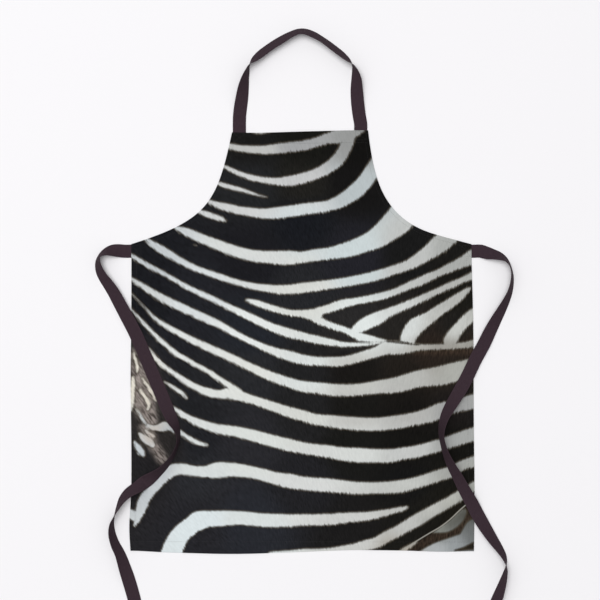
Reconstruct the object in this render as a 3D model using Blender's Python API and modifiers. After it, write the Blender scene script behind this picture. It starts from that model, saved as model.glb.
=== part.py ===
"""A bib apron laid out flat, face up, on a surface.

One printed cloth panel with folded hems, a fixed neck strap and two free waist ties of the same
flat tape. The straps are sewn behind the cloth, so the layers run, from the surface upwards:
hem folds and tape ends, cloth, and the stitching that shows on the face. +X is the viewer's right,
+Y points from the skirt to the neck and +Z is up, out of the printed face. The origin is on the
surface, in the middle of the panel and the neck strap together.
"""
import math

import bpy
import numpy as np
from mathutils import Matrix, Vector

# Overall sizes, in metres.
PANEL_WIDTH = 0.650
PANEL_LENGTH = 0.800
SIDE_LENGTH = 0.585
BIB_WIDTH = 0.2585
BIB_SHIFT = -0.0047
LOOP_RISE = 0.194

# Cloth, hems and tape.
CLOTH = 0.0006
HEM_FOLD = 0.0010
TOP_HEM = 0.025
BOTTOM_HEM = 0.020
SIDE_HEM = 0.012
ARMHOLE_HEM = 0.010
TAPE_WIDTH = 0.025
TAPE_THICKNESS = 0.0010
SEWN_LENGTH = 0.020
STRAP_INSET = 0.0015
TIE_INSET = 0.0010
TIE_HEM_LENGTH = 0.010

# Stitching.
THREAD = 0.0004
STITCH_INSET = 0.0020
TACK_MARGIN = 0.0020

# Clearances and hinges.
GAP = 0.0003
FOLD_OFFSET = 0.0020

# Steps along curves.
ARMHOLE_STEPS = 18
TAPE_STEP = 0.0125
FLAT_TILT = 90.0

# Each armhole leaves the bib and reaches the side along these two pulls (outwards, up), in shares
# of the armhole's own width and drop.
ARMHOLE_PULLS = {
    -1: ((0.152, -0.637), (-0.775, 0.219)),
    +1: ((0.085, -0.684), (-0.753, 0.186)),
}

# Neck strap: share of the way from the left leg to the right one, share of the loop's rise,
# and the tape's turn about its own length in degrees. It lies flat, climbs onto its edge at the
# two shoulders and leans inwards over the top.
NECK_ROUTE = (
    (0.000, 0.000, 0),
    (0.000, 0.068, 0),
    (0.001, 0.130, 1),
    (0.006, 0.194, 4),
    (0.022, 0.322, 21),
    (0.040, 0.451, 44),
    (0.052, 0.515, 59),
    (0.068, 0.578, 74),
    (0.086, 0.640, 93),
    (0.120, 0.688, 119),
    (0.161, 0.732, 130),
    (0.247, 0.810, 132),
    (0.340, 0.880, 132),
    (0.435, 0.942, 125),
    (0.488, 0.966, 122),
    (0.541, 0.965, 124),
    (0.591, 0.945, 126),
    (0.687, 0.882, 123),
    (0.774, 0.806, 125),
    (0.859, 0.726, 121),
    (0.898, 0.684, 112),
    (0.931, 0.637, 90),
    (0.950, 0.578, 66),
    (0.961, 0.516, 46),
    (0.967, 0.387, 22),
    (0.976, 0.257, 8),
    (0.983, 0.190, 4),
    (0.990, 0.135, 1),
    (1.000, 0.068, 0),
    (1.000, 0.000, 0),
)

# Waist ties: distance outwards from the side edge, distance up from the middle of the tape where
# it leaves the side (both metres), lift onto the cloth from 0 to 1, and the turn in degrees.
LEFT_TIE_ROUTE = (
    (0.0000, 0.0000, 0.0, 0),
    (0.0130, 0.0000, 0.0, 2),
    (0.0245, 0.0011, 0.0, 12),
    (0.0365, 0.0012, 0.0, 30),
    (0.0480, -0.0014, 0.0, 54),
    (0.0555, -0.0055, 0.0, 68),
    (0.0602, -0.0105, 0.0, 74),
    (0.0622, -0.0190, 0.0, 64),
    (0.0612, -0.0300, 0.0, 53),
    (0.0570, -0.0420, 0.0, 44),
    (0.0530, -0.0490, 0.0, 40),
    (0.0435, -0.0625, 0.0, 31),
    (0.0330, -0.0785, 0.4, 22),
    (0.0220, -0.0985, 1.0, 14),
    (0.0080, -0.1250, 1.0, 7),
    (-0.0060, -0.1520, 1.0, 2),
    (-0.0190, -0.1810, 1.0, 0),
    (-0.0320, -0.2120, 1.0, 0),
    (-0.0460, -0.2450, 1.0, -2),
    (-0.0580, -0.2730, 1.0, -8),
    (-0.0690, -0.2990, 1.0, -17),
    (-0.0785, -0.3195, 1.0, -37),
    (-0.0860, -0.3340, 1.0, -60),
    (-0.0900, -0.3470, 1.0, -74),
    (-0.0893, -0.3630, 1.0, -81),
    (-0.0850, -0.3760, 1.0, -79),
    (-0.0760, -0.3930, 1.0, -72),
    (-0.0650, -0.4075, 1.0, -62),
    (-0.0507, -0.4205, 1.0, -48),
    (-0.0317, -0.4345, 1.0, -14),
    (-0.0127, -0.4470, 1.0, 30),
    (0.0063, -0.4592, 1.0, 46),
    (0.0160, -0.4700, 1.0, 56),
    (0.0235, -0.4840, 1.0, 70),
    (0.0310, -0.5010, 0.4, 87),
    (0.0360, -0.5190, 0.0, 105),
    (0.0355, -0.5350, 0.0, 116),
    (0.0300, -0.5540, 0.0, 124),
    (0.0205, -0.5740, 0.0, 133),
    (0.0120, -0.6000, 0.0, 150),
    (0.0050, -0.6230, 0.0, 167),
    (-0.0010, -0.6440, 0.0, 177),
    (-0.0065, -0.6650, 0.0, 180),
    (-0.0150, -0.7030, 0.0, 180),
    (-0.0190, -0.7480, 0.0, 180),
    (-0.0200, -0.7900, 0.0, 180),
)
RIGHT_TIE_ROUTE = (
    (0.0000, 0.0000, 0.0, 0),
    (0.0130, 0.0000, 0.0, -2),
    (0.0250, -0.0034, 0.0, -16),
    (0.0370, -0.0062, 0.0, -37),
    (0.0485, -0.0095, 0.0, -50),
    (0.0588, -0.0150, 0.0, -66),
    (0.0660, -0.0235, 0.0, -76),
    (0.0703, -0.0350, 0.0, -78),
    (0.0720, -0.0480, 0.0, -73),
    (0.0710, -0.0620, 0.0, -68),
    (0.0680, -0.0760, 0.0, -62),
    (0.0615, -0.0925, 0.0, -53),
    (0.0530, -0.1095, 0.0, -43),
    (0.0415, -0.1310, 0.0, -29),
    (0.0300, -0.1535, 0.5, -14),
    (0.0190, -0.1765, 1.0, -2),
    (0.0035, -0.2050, 1.0, 0),
    (-0.0115, -0.2360, 1.0, 2),
    (-0.0240, -0.2595, 1.0, 12),
    (-0.0340, -0.2760, 1.0, 24),
    (-0.0470, -0.2970, 1.0, 38),
    (-0.0555, -0.3125, 1.0, 51),
    (-0.0610, -0.3300, 1.0, 62),
    (-0.0625, -0.3500, 1.0, 71),
    (-0.0585, -0.3690, 1.0, 70),
    (-0.0525, -0.3870, 1.0, 63),
    (-0.0440, -0.4055, 1.0, 52),
    (-0.0320, -0.4270, 1.0, 41),
    (-0.0205, -0.4490, 1.0, 30),
    (-0.0050, -0.4765, 1.0, 13),
    (0.0095, -0.5040, 1.0, -5),
    (0.0229, -0.5267, 1.0, -24),
    (0.0367, -0.5480, 0.7, -40),
    (0.0505, -0.5680, 0.0, -56),
    (0.0565, -0.5785, 0.0, -64),
    (0.0602, -0.5900, 0.0, -76),
    (0.0604, -0.6020, 0.0, -93),
    (0.0580, -0.6134, 0.0, -104),
    (0.0512, -0.6370, 0.0, -122),
    (0.0430, -0.6610, 0.0, -138),
    (0.0300, -0.7020, 0.0, -162),
    (0.0195, -0.7460, 0.0, -178),
    (0.0140, -0.8100, 0.0, -180),
)

# Levels across the panel and heights above the surface, from the sizes above.
BOTTOM = -(PANEL_LENGTH + LOOP_RISE) / 2
TOP = BOTTOM + PANEL_LENGTH
WAIST = BOTTOM + SIDE_LENGTH
EDGE = PANEL_WIDTH / 2
TIE_TOP = WAIST - TIE_INSET
TIE_MIDDLE = TIE_TOP - TAPE_WIDTH / 2
CLOTH_LOW = max(HEM_FOLD, TAPE_THICKNESS) + GAP
CLOTH_TOP = CLOTH_LOW + CLOTH
STITCH_LOW = CLOTH_TOP + GAP
STITCH_TOP = STITCH_LOW + THREAD
OVER_CLOTH = STITCH_TOP + GAP

# Colour (linear), roughness and metallic value of each material.
FINISHES = {
    "printed_cloth": ((0.16, 0.16, 0.165), 0.85, 0.0),
    "tape": ((0.038, 0.024, 0.031), 0.80, 0.0),
    "cloth_thread": ((0.045, 0.042, 0.045), 0.60, 0.0),
    "tape_thread": ((0.030, 0.019, 0.025), 0.60, 0.0),
}


def clear_scene():
    """Remove every object that the file opened with."""
    for thing in list(bpy.data.objects):
        bpy.data.objects.remove(thing, do_unlink=True)


def make_collection(name):
    """Make a collection and hang it under the scene."""
    collection = bpy.data.collections.new(name)
    bpy.context.scene.collection.children.link(collection)
    return collection


def make_materials():
    """Make one Principled material for each finish."""
    materials = {}
    for name, (colour, roughness, metallic) in FINISHES.items():
        material = bpy.data.materials.new(name)
        material.use_nodes = True
        shader = material.node_tree.nodes["Principled BSDF"]
        shader.inputs["Base Color"].default_value = (*colour, 1.0)
        shader.inputs["Roughness"].default_value = roughness
        shader.inputs["Metallic"].default_value = metallic
        materials[name] = material
    return materials


def flat_piece(name, outlines, low, high, material, collection):
    """Make a flat piece from closed outlines in plan; outlines after the first are holes."""
    curve = bpy.data.curves.new(name, "CURVE")
    curve.dimensions = "2D"
    curve.fill_mode = "BOTH"
    curve.extrude = (high - low) / 2
    for outline in outlines:
        spline = curve.splines.new("POLY")
        spline.points.add(len(outline) - 1)
        for point, (x, y) in zip(spline.points, outline):
            point.co = (x, y, 0.0, 1.0)
        spline.use_cyclic_u = True
    curve.materials.append(material)
    piece = bpy.data.objects.new(name, curve)
    piece.location.z = (low + high) / 2
    collection.objects.link(piece)
    return piece


def rectangle(x_low, x_high, y_low, y_high):
    """Give a rectangle's corners, anticlockwise from the lower left."""
    return [(x_low, y_low), (x_high, y_low), (x_high, y_high), (x_low, y_high)]


def span(first, second):
    """Give two numbers in rising order."""
    return min(first, second), max(first, second)


def bib_corner(side):
    """Give the bib's top corner on one side, -1 for left and +1 for right."""
    return np.array((BIB_SHIFT + side * BIB_WIDTH / 2, TOP))


def waist_corner(side):
    """Give the corner where an armhole meets the side edge."""
    return np.array((side * EDGE, WAIST))


def armhole_points(side, steps, inset=0.0):
    """Follow an armhole from the bib to the side, moved into the cloth by inset.

    The edge is one cubic Bezier curve. The inset runs along the curve's own normal.
    """
    start, end = bib_corner(side), waist_corner(side)
    box = np.array((end[0] - start[0], start[1] - end[1]))
    bib_pull, side_pull = np.array(ARMHOLE_PULLS[side]) * box
    knots = (start, start + bib_pull, end + side_pull, end)
    t = np.asarray(steps)[:, None]
    edge = (1 - t) ** 3 * knots[0] + 3 * (1 - t) ** 2 * t * knots[1]
    edge = edge + 3 * (1 - t) * t ** 2 * knots[2] + t ** 3 * knots[3]
    slope = (1 - t) ** 2 * (knots[1] - knots[0]) + 2 * (1 - t) * t * (knots[2] - knots[1])
    slope = slope + t ** 2 * (knots[3] - knots[2])
    slope = slope / np.linalg.norm(slope, axis=1, keepdims=True)
    inward = np.stack((slope[:, 1], -slope[:, 0]), axis=1) * side
    return edge + inset * inward


def armhole_band(side, near, far, top_limit, side_limit):
    """Outline a band along an armhole, between two insets.

    The band stops below top_limit and short of side_limit, a distance from the middle line.
    """
    fine = np.linspace(0.0, 1.0, 401)
    near_line = armhole_points(side, fine, near)
    far_line = armhole_points(side, fine, far)
    below = np.maximum(near_line[:, 1], far_line[:, 1]) <= top_limit
    within = np.maximum(side * near_line[:, 0], side * far_line[:, 0]) <= side_limit
    kept = fine[below & within]
    steps = np.linspace(kept[0], kept[-1], ARMHOLE_STEPS + 1)
    near_points = armhole_points(side, steps, near)
    far_points = armhole_points(side, steps, far)
    return [tuple(point) for point in np.concatenate((near_points, far_points[::-1]))]


def panel_outline():
    """Outline the cloth panel: straight skirt, curved armholes, straight bib top."""
    steps = np.linspace(0.0, 1.0, ARMHOLE_STEPS + 1)
    right = armhole_points(+1, steps)[::-1]
    left = armhole_points(-1, steps)
    skirt = np.array(((-EDGE, BOTTOM), (EDGE, BOTTOM)))
    return [tuple(point) for point in np.concatenate((skirt, right, left))]


def strap_span(side):
    """Give the inner and outer edge of a neck strap leg, as x in rising order."""
    outer = bib_corner(side)[0] - side * STRAP_INSET
    return span(outer, outer - side * TAPE_WIDTH)


def top_hem_outline():
    """Outline the top hem: full width below, and only between the strap ends above."""
    hem_low = TOP - TOP_HEM
    hem_step = TOP - SEWN_LENGTH - GAP
    left_inner = strap_span(-1)[1] + GAP
    right_inner = strap_span(+1)[0] - GAP
    left_outer = bib_corner(-1)[0]
    right_outer = bib_corner(+1)[0]
    return [
        (left_outer, hem_low), (right_outer, hem_low), (right_outer, hem_step),
        (right_inner, hem_step), (right_inner, TOP), (left_inner, TOP),
        (left_inner, hem_step), (left_outer, hem_step),
    ]


def make_hems(materials, collection):
    """Make the six folded hems behind the cloth, lying side by side.

    The fold brings the printed face round to the back, so the hems show the print.
    """
    cloth = materials["printed_cloth"]
    flat_piece("top_hem", [top_hem_outline()], 0.0, HEM_FOLD, cloth, collection)
    bottom = rectangle(-EDGE, EDGE, BOTTOM, BOTTOM + BOTTOM_HEM)
    flat_piece("bottom_hem", [bottom], 0.0, HEM_FOLD, cloth, collection)
    hem_low = BOTTOM + BOTTOM_HEM + GAP
    hem_high = TIE_TOP - TAPE_WIDTH - GAP
    for side, word in ((-1, "left"), (+1, "right")):
        x_low, x_high = span(side * EDGE, side * (EDGE - SIDE_HEM))
        outline = rectangle(x_low, x_high, hem_low, hem_high)
        flat_piece(f"{word}_side_hem", [outline], 0.0, HEM_FOLD, cloth, collection)
        side_limit = EDGE - max(SEWN_LENGTH, SIDE_HEM) - GAP
        band = armhole_band(side, 0.0, ARMHOLE_HEM, TOP - TOP_HEM - GAP, side_limit)
        flat_piece(f"{word}_armhole_hem", [band], 0.0, HEM_FOLD, cloth, collection)


def make_stitching(materials, collection):
    """Make the lines of topstitching that hold the hems, one continuous thread to a seam."""
    thread = materials["cloth_thread"]

    def seam(name, outline):
        flat_piece(name, [outline], STITCH_LOW, STITCH_TOP, thread, collection)

    top_seam = TOP - TOP_HEM + STITCH_INSET
    bottom_seam = BOTTOM + BOTTOM_HEM - STITCH_INSET
    left, right = bib_corner(-1)[0], bib_corner(+1)[0]
    seam("top_hem_stitching", rectangle(left, right, top_seam, top_seam + THREAD))
    seam("bottom_hem_stitching",
         rectangle(-EDGE, EDGE, bottom_seam - THREAD, bottom_seam))
    for side, word in ((-1, "left"), (+1, "right")):
        inner = side * (EDGE - SIDE_HEM + STITCH_INSET)
        x_low, x_high = span(inner, inner + side * THREAD)
        seam(f"{word}_side_stitching",
             rectangle(x_low, x_high, bottom_seam + GAP, TIE_TOP - TAPE_WIDTH - GAP))
        inset = ARMHOLE_HEM - STITCH_INSET
        band = armhole_band(side, inset - THREAD, inset, top_seam - GAP,
                            EDGE - SEWN_LENGTH - GAP)
        seam(f"{word}_armhole_stitching", band)


def boxed_cross(x_low, x_high, y_low, y_high):
    """Outline a sewn box with a cross in it: a rectangle with four triangular holes."""
    x_mid, y_mid = (x_low + x_high) / 2, (y_low + y_high) / 2
    half_x, half_y = (x_high - x_low) / 2, (y_high - y_low) / 2
    diagonal = math.hypot(half_x, half_y)
    tip_x = THREAD / 2 * diagonal / half_y
    tip_y = THREAD / 2 * diagonal / half_x
    reach_x, reach_y = half_x - THREAD, half_y - THREAD
    holes = []
    rise = (reach_x - tip_x) * half_y / half_x
    run = (reach_y - tip_y) * half_x / half_y
    for sign in (-1, 1):
        holes.append([(x_mid + sign * tip_x, y_mid), (x_mid + sign * reach_x, y_mid - rise),
                      (x_mid + sign * reach_x, y_mid + rise)])
        holes.append([(x_mid, y_mid + sign * tip_y), (x_mid - run, y_mid + sign * reach_y),
                      (x_mid + run, y_mid + sign * reach_y)])
    return [rectangle(x_low, x_high, y_low, y_high)] + holes


def make_sewn_ends(materials, collection):
    """Make the tape ends sewn behind the cloth, each with its boxed cross on the face."""
    tape, thread = materials["tape"], materials["cloth_thread"]
    for side, word in ((-1, "left"), (+1, "right")):
        spans = {
            f"neck_strap_{word}": (*strap_span(side), TOP - SEWN_LENGTH, TOP),
            f"{word}_tie": (*span(side * EDGE, side * (EDGE - SEWN_LENGTH)),
                            TIE_TOP - TAPE_WIDTH, TIE_TOP),
        }
        for name, (x_low, x_high, y_low, y_high) in spans.items():
            end = rectangle(x_low, x_high, y_low, y_high)
            flat_piece(f"{name}_sewn_end", [end], 0.0, TAPE_THICKNESS, tape, collection)
            tack = boxed_cross(x_low + TACK_MARGIN, x_high - TACK_MARGIN,
                               y_low + TACK_MARGIN, y_high - TACK_MARGIN)
            flat_piece(f"{name}_tack", tack, STITCH_LOW, STITCH_TOP, thread, collection)


def smooth_route(knots):
    """Pass a smooth curve through the knots and step along it about every TAPE_STEP.

    The curve is a Catmull-Rom spline over the distance in plan between the knots, and its other
    columns follow the first two.
    """
    knots = np.asarray(knots, dtype=float)
    chords = np.linalg.norm(np.diff(knots[:, :2], axis=0), axis=1)
    marks = np.concatenate(((0.0,), np.cumsum(chords)))
    slopes = np.gradient(knots, marks, axis=0)
    count = round(marks[-1] / TAPE_STEP) + 1
    places = np.linspace(0.0, marks[-1], count)
    index = np.clip(np.searchsorted(marks, places, side="right") - 1, 0, len(knots) - 2)
    length = (marks[index + 1] - marks[index])[:, None]
    t = (places[:, None] - marks[index][:, None]) / length
    before, after = knots[index], knots[index + 1]
    route = (2 * t ** 3 - 3 * t ** 2 + 1) * before + (3 * t ** 2 - 2 * t ** 3) * after
    route = route + (t ** 3 - 2 * t ** 2 + t) * length * slopes[index]
    return route + (t ** 3 - t ** 2) * length * slopes[index + 1]


def tape_height(lift, turn):
    """Give the height of the tape's middle so that its lowest edge just clears what it lies on."""
    base = np.clip(lift, 0.0, 1.0) * OVER_CLOTH
    turn = np.radians(turn)
    return base + TAPE_WIDTH / 2 * np.abs(np.sin(turn)) + TAPE_THICKNESS / 2 * np.abs(np.cos(turn))


def make_hinge(name, place, collection):
    """Put an empty on a hinge, to carry the pieces that turn about it."""
    hinge = bpy.data.objects.new(name, None)
    hinge.location = place
    hinge.empty_display_size = 0.01
    collection.objects.link(hinge)
    return hinge


def hang_on(piece, hinge):
    """Parent a piece to a hinge without moving it."""
    piece.parent = hinge
    piece.matrix_parent_inverse = Matrix.Translation(-hinge.location)


def lay_tape(name, places, turns, material, collection):
    """Lay a flat tape along a route, turned about the route by the given degrees.

    The tape is the curve's own band, which stands on edge at no tilt. It is split into triangles
    before it gets its thickness, so that its two faces stay parallel where it twists.
    """
    curve = bpy.data.curves.new(name, "CURVE")
    curve.dimensions = "3D"
    curve.twist_mode = "Z_UP"
    curve.extrude = TAPE_WIDTH / 2
    spline = curve.splines.new("POLY")
    spline.points.add(len(places) - 1)
    for point, place, turn in zip(spline.points, places, turns):
        point.co = (*place, 1.0)
        point.tilt = math.radians(turn - FLAT_TILT)
    curve.materials.append(material)
    piece = bpy.data.objects.new(name, curve)
    collection.objects.link(piece)
    piece.modifiers.new("triangles", "TRIANGULATE")
    wall = piece.modifiers.new("thickness", "SOLIDIFY")
    wall.thickness = TAPE_THICKNESS
    wall.offset = 0.0
    return piece


def make_neck_strap(materials, collection, guides):
    """Make the free part of the neck strap and hinge it along the bib's top edge."""
    left_leg = sum(strap_span(-1)) / 2
    right_leg = sum(strap_span(+1)) / 2
    knots = [(left_leg + share * (right_leg - left_leg), TOP + GAP + rise * (LOOP_RISE - GAP), turn)
             for share, rise, turn in NECK_ROUTE]
    route = smooth_route(knots)
    places = np.column_stack((route[:, :2], tape_height(0.0, route[:, 2])))
    strap = lay_tape("neck_strap", places, route[:, 2], materials["tape"], collection)
    middle = (left_leg + right_leg) / 2
    hinge = make_hinge("neck_fold", Vector((middle, TOP + FOLD_OFFSET, CLOTH_LOW + CLOTH / 2)), guides)
    hang_on(strap, hinge)


def make_end_hem(word, places, materials, collection, hinge):
    """Make the fold and the stitching that finish a tie's far end."""
    run = places[-1] - places[-2]
    heading = math.atan2(run[1], run[0])
    middle = places[-1] - run / np.linalg.norm(run) * TIE_HEM_LENGTH / 2
    low = TAPE_THICKNESS + GAP
    layers = (
        (f"{word}_tie_end_hem", TIE_HEM_LENGTH, TAPE_WIDTH, low, HEM_FOLD, materials["tape"]),
        (f"{word}_tie_end_stitching", THREAD, TAPE_WIDTH - 2 * THREAD, low + HEM_FOLD + GAP, THREAD,
         materials["tape_thread"]),
    )
    for name, length, width, base, height, material in layers:
        bpy.ops.mesh.primitive_cube_add(size=1.0)
        piece = bpy.context.object
        for owner in list(piece.users_collection):
            owner.objects.unlink(piece)
        collection.objects.link(piece)
        piece.name = name
        piece.scale = (length, width, height)
        piece.rotation_euler.z = heading
        piece.location = (middle[0], middle[1], base + height / 2)
        piece.data.materials.append(material)
        hang_on(piece, hinge)


def make_tie(side, word, knots, materials, collection, guides):
    """Make one free waist tie, hinged along the upper edge of its exit from the side."""
    route = smooth_route(knots)
    x = side * (EDGE + GAP + route[:, 0])
    y = TIE_MIDDLE + route[:, 1]
    places = np.column_stack((x, y, tape_height(route[:, 2], route[:, 3])))
    tie = lay_tape(f"{word}_waist_tie", places, route[:, 3], materials["tape"], collection)
    hinge = make_hinge(f"{word}_tie_swing", Vector((side * (EDGE + GAP), TIE_TOP, TAPE_THICKNESS / 2)),
                       guides)
    hang_on(tie, hinge)
    make_end_hem(word, places, materials, collection, hinge)


def main():
    """Build the whole apron."""
    clear_scene()
    apron = make_collection("bib_apron")
    guides = make_collection("guides")
    materials = make_materials()
    flat_piece("front_panel", [panel_outline()], CLOTH_LOW, CLOTH_TOP, materials["printed_cloth"], apron)
    make_hems(materials, apron)
    make_stitching(materials, apron)
    make_sewn_ends(materials, apron)
    make_neck_strap(materials, apron, guides)
    make_tie(-1, "left", LEFT_TIE_ROUTE, materials, apron, guides)
    make_tie(+1, "right", RIGHT_TIE_ROUTE, materials, apron, guides)


main()
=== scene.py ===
"""Looks of a bib apron with a zebra print, laid out flat and face up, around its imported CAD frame.

Everything is in metres in the frame's axes: +X is the viewer's right, +Y points from the skirt to the neck
and +Z is up, out of the printed face. The print is laid out in millimetres of its own, to the right of the
apron's middle line and up from its bottom edge.
"""
import logging
import math
from dataclasses import dataclass, field
from enum import Enum
from typing import Callable, Sequence, Union

import bpy
import numpy as np
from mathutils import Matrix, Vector


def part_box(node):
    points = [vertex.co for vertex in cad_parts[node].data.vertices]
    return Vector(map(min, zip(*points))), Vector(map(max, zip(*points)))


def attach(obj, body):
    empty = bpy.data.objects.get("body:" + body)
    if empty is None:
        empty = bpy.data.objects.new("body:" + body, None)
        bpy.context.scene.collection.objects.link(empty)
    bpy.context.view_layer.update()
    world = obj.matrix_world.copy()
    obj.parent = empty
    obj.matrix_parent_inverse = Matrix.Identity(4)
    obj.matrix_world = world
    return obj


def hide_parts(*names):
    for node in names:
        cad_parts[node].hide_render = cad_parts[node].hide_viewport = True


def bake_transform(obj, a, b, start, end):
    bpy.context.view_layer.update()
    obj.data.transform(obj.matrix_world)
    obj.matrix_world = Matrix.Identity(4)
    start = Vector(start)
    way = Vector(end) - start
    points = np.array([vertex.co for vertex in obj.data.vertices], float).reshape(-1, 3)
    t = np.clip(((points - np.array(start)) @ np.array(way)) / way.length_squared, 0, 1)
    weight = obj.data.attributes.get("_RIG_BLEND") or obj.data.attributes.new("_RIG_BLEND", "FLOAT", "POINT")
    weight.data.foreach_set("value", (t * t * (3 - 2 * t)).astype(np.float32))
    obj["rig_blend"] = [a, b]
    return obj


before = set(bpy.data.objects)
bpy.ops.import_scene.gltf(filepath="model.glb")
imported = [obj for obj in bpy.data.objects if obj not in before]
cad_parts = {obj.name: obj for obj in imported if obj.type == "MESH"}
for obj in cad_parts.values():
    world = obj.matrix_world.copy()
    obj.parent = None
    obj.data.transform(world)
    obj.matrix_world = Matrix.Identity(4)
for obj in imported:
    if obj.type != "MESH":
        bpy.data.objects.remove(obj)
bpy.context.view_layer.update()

LOG = logging.getLogger("bib_apron")
Array = np.ndarray
Knots = Sequence[tuple[float, ...]]
Height = Union[float, Callable[[Array], Array]]

MM = 0.001
GAP = 0.0003
TAPE_WIDTH = 0.025
TAPE_THICKNESS = 0.0010
SEWN_LENGTH = 0.020
STRAP_INSET = 0.0015
ARMHOLE_HEM = 0.010
SHORT_PITCH = 0.0026
ARMHOLE_PULLS = {
    -1: ((0.152, -0.637), (-0.775, 0.219)),
    +1: ((0.085, -0.684), (-0.753, 0.186)),
}


class Side(Enum):
    """The apron's two sides, by the sign of x."""

    LEFT = -1
    RIGHT = 1

    @property
    def word(self) -> str:
        """The side's name in piece names."""
        return self.name.lower()


# ---------------------------------------------------------------------------------------------------
# Curves and surfaces
# ---------------------------------------------------------------------------------------------------


def smoothstep(low: float, high: float, value: Array) -> Array:
    """Rise from 0 to 1 between low and high as 3t^2 - 2t^3.

    Args:
        low: Where the rise starts.
        high: Where it ends.
        value: The numbers to map.

    Returns:
        The mapped numbers, from 0 to 1.
    """
    t = np.clip((value - low) / (high - low), 0.0, 1.0)
    return t * t * (3.0 - 2.0 * t)


def smooth_curve(knots: Knots, step: float, plan: int = 2) -> Array:
    """Pass a Catmull-Rom curve over the plan distance through knots, whose other columns follow.

    Between two knots, each column is the cubic with the knots' values and their centred slopes.

    Args:
        knots: The points, one row each.
        step: The distance in plan between the points given back.
        plan: How many leading columns are plan coordinates.

    Returns:
        The curve's points, with the knots' columns.
    """
    rows = np.asarray(knots, dtype=float)
    chords = np.linalg.norm(np.diff(rows[:, :plan], axis=0), axis=1)
    marks = np.concatenate(((0.0,), np.cumsum(chords)))
    slopes = np.gradient(rows, marks, axis=0)
    places = np.linspace(0.0, marks[-1], max(2, round(marks[-1] / step) + 1))
    index = np.clip(np.searchsorted(marks, places, side="right") - 1, 0, len(rows) - 2)
    length = (marks[index + 1] - marks[index])[:, None]
    t = (places[:, None] - marks[index][:, None]) / length
    curve = (2 * t**3 - 3 * t**2 + 1) * rows[index] + (3 * t**2 - 2 * t**3) * rows[index + 1]
    curve = curve + (t**3 - 2 * t**2 + t) * length * slopes[index]
    return curve + (t**3 - t**2) * length * slopes[index + 1]


def even_steps(line: Array, pitch: float, margin: float = 0.0) -> tuple[Array, Array]:
    """Step evenly along a line of points.

    Args:
        line: The line's points in plan.
        pitch: The distance between steps, rounded so that they fill the line.
        margin: The length left free at both ends.

    Returns:
        The places, and the line's unit direction at each.
    """
    lengths = np.linalg.norm(np.diff(line, axis=0), axis=1)
    marks = np.concatenate(((0.0,), np.cumsum(lengths)))
    run = marks[-1] - 2 * margin
    count = max(1, round(run / pitch))
    steps = margin + (np.arange(count) + 0.5) * run / count
    ahead = np.stack([np.interp(steps + 0.2 * pitch, marks, column) for column in line.T], axis=1)
    behind = np.stack([np.interp(steps - 0.2 * pitch, marks, column) for column in line.T], axis=1)
    heading = ahead - behind
    return (ahead + behind) / 2, heading / np.linalg.norm(heading, axis=1, keepdims=True)


def new_piece(name: str, points: Array, faces: list, material: bpy.types.Material,
              attributes: dict[str, Array] | None = None) -> bpy.types.Object:
    """Put a surface into a mesh object at the origin.

    Args:
        name: The piece's name.
        points: Its vertices, in the frame's metres.
        faces: Its faces, as lists of vertex numbers.
        material: Its material.
        attributes: Numbers (n) or colours (n, 3) at the vertices, by name.

    Returns:
        The new object, linked to the scene.
    """
    mesh = bpy.data.meshes.new(name)
    mesh.from_pydata(np.asarray(points, dtype=np.float32).tolist(), [], faces)
    mesh.polygons.foreach_set("use_smooth", np.ones(len(mesh.polygons), dtype=bool))
    for key, values in (attributes or {}).items():
        if values.ndim == 1:
            layer = mesh.attributes.new(key, "FLOAT", "POINT")
            layer.data.foreach_set("value", values.astype(np.float32))
        else:
            layer = mesh.attributes.new(key, "FLOAT_COLOR", "POINT")
            padded = np.concatenate((values, np.ones((len(values), 1))), axis=1)
            layer.data.foreach_set("color", padded.astype(np.float32).ravel())
    mesh.materials.append(material)
    mesh.update()
    piece = bpy.data.objects.new(name, mesh)
    bpy.context.scene.collection.objects.link(piece)
    LOG.info("%s: %d vertices, %d faces", name, len(mesh.vertices), len(mesh.polygons))
    return piece


def rim_loop(rows: int, columns: int) -> Array:
    """Number the border of a grid of rows by columns vertices, anticlockwise from its first corner."""
    grid = np.arange(rows * columns).reshape(rows, columns)
    return np.concatenate((grid[0, :-1], grid[:-1, -1], grid[-1, :0:-1], grid[:0:-1, 0]))


def grid_quads(rows: int, columns: int) -> Array:
    """List the quads of a grid of rows by columns vertices, anticlockwise seen from above."""
    grid = np.arange(rows * columns).reshape(rows, columns)
    corners = (grid[:-1, :-1], grid[:-1, 1:], grid[1:, 1:], grid[1:, :-1])
    return np.stack([corner.ravel() for corner in corners], axis=1)


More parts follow.
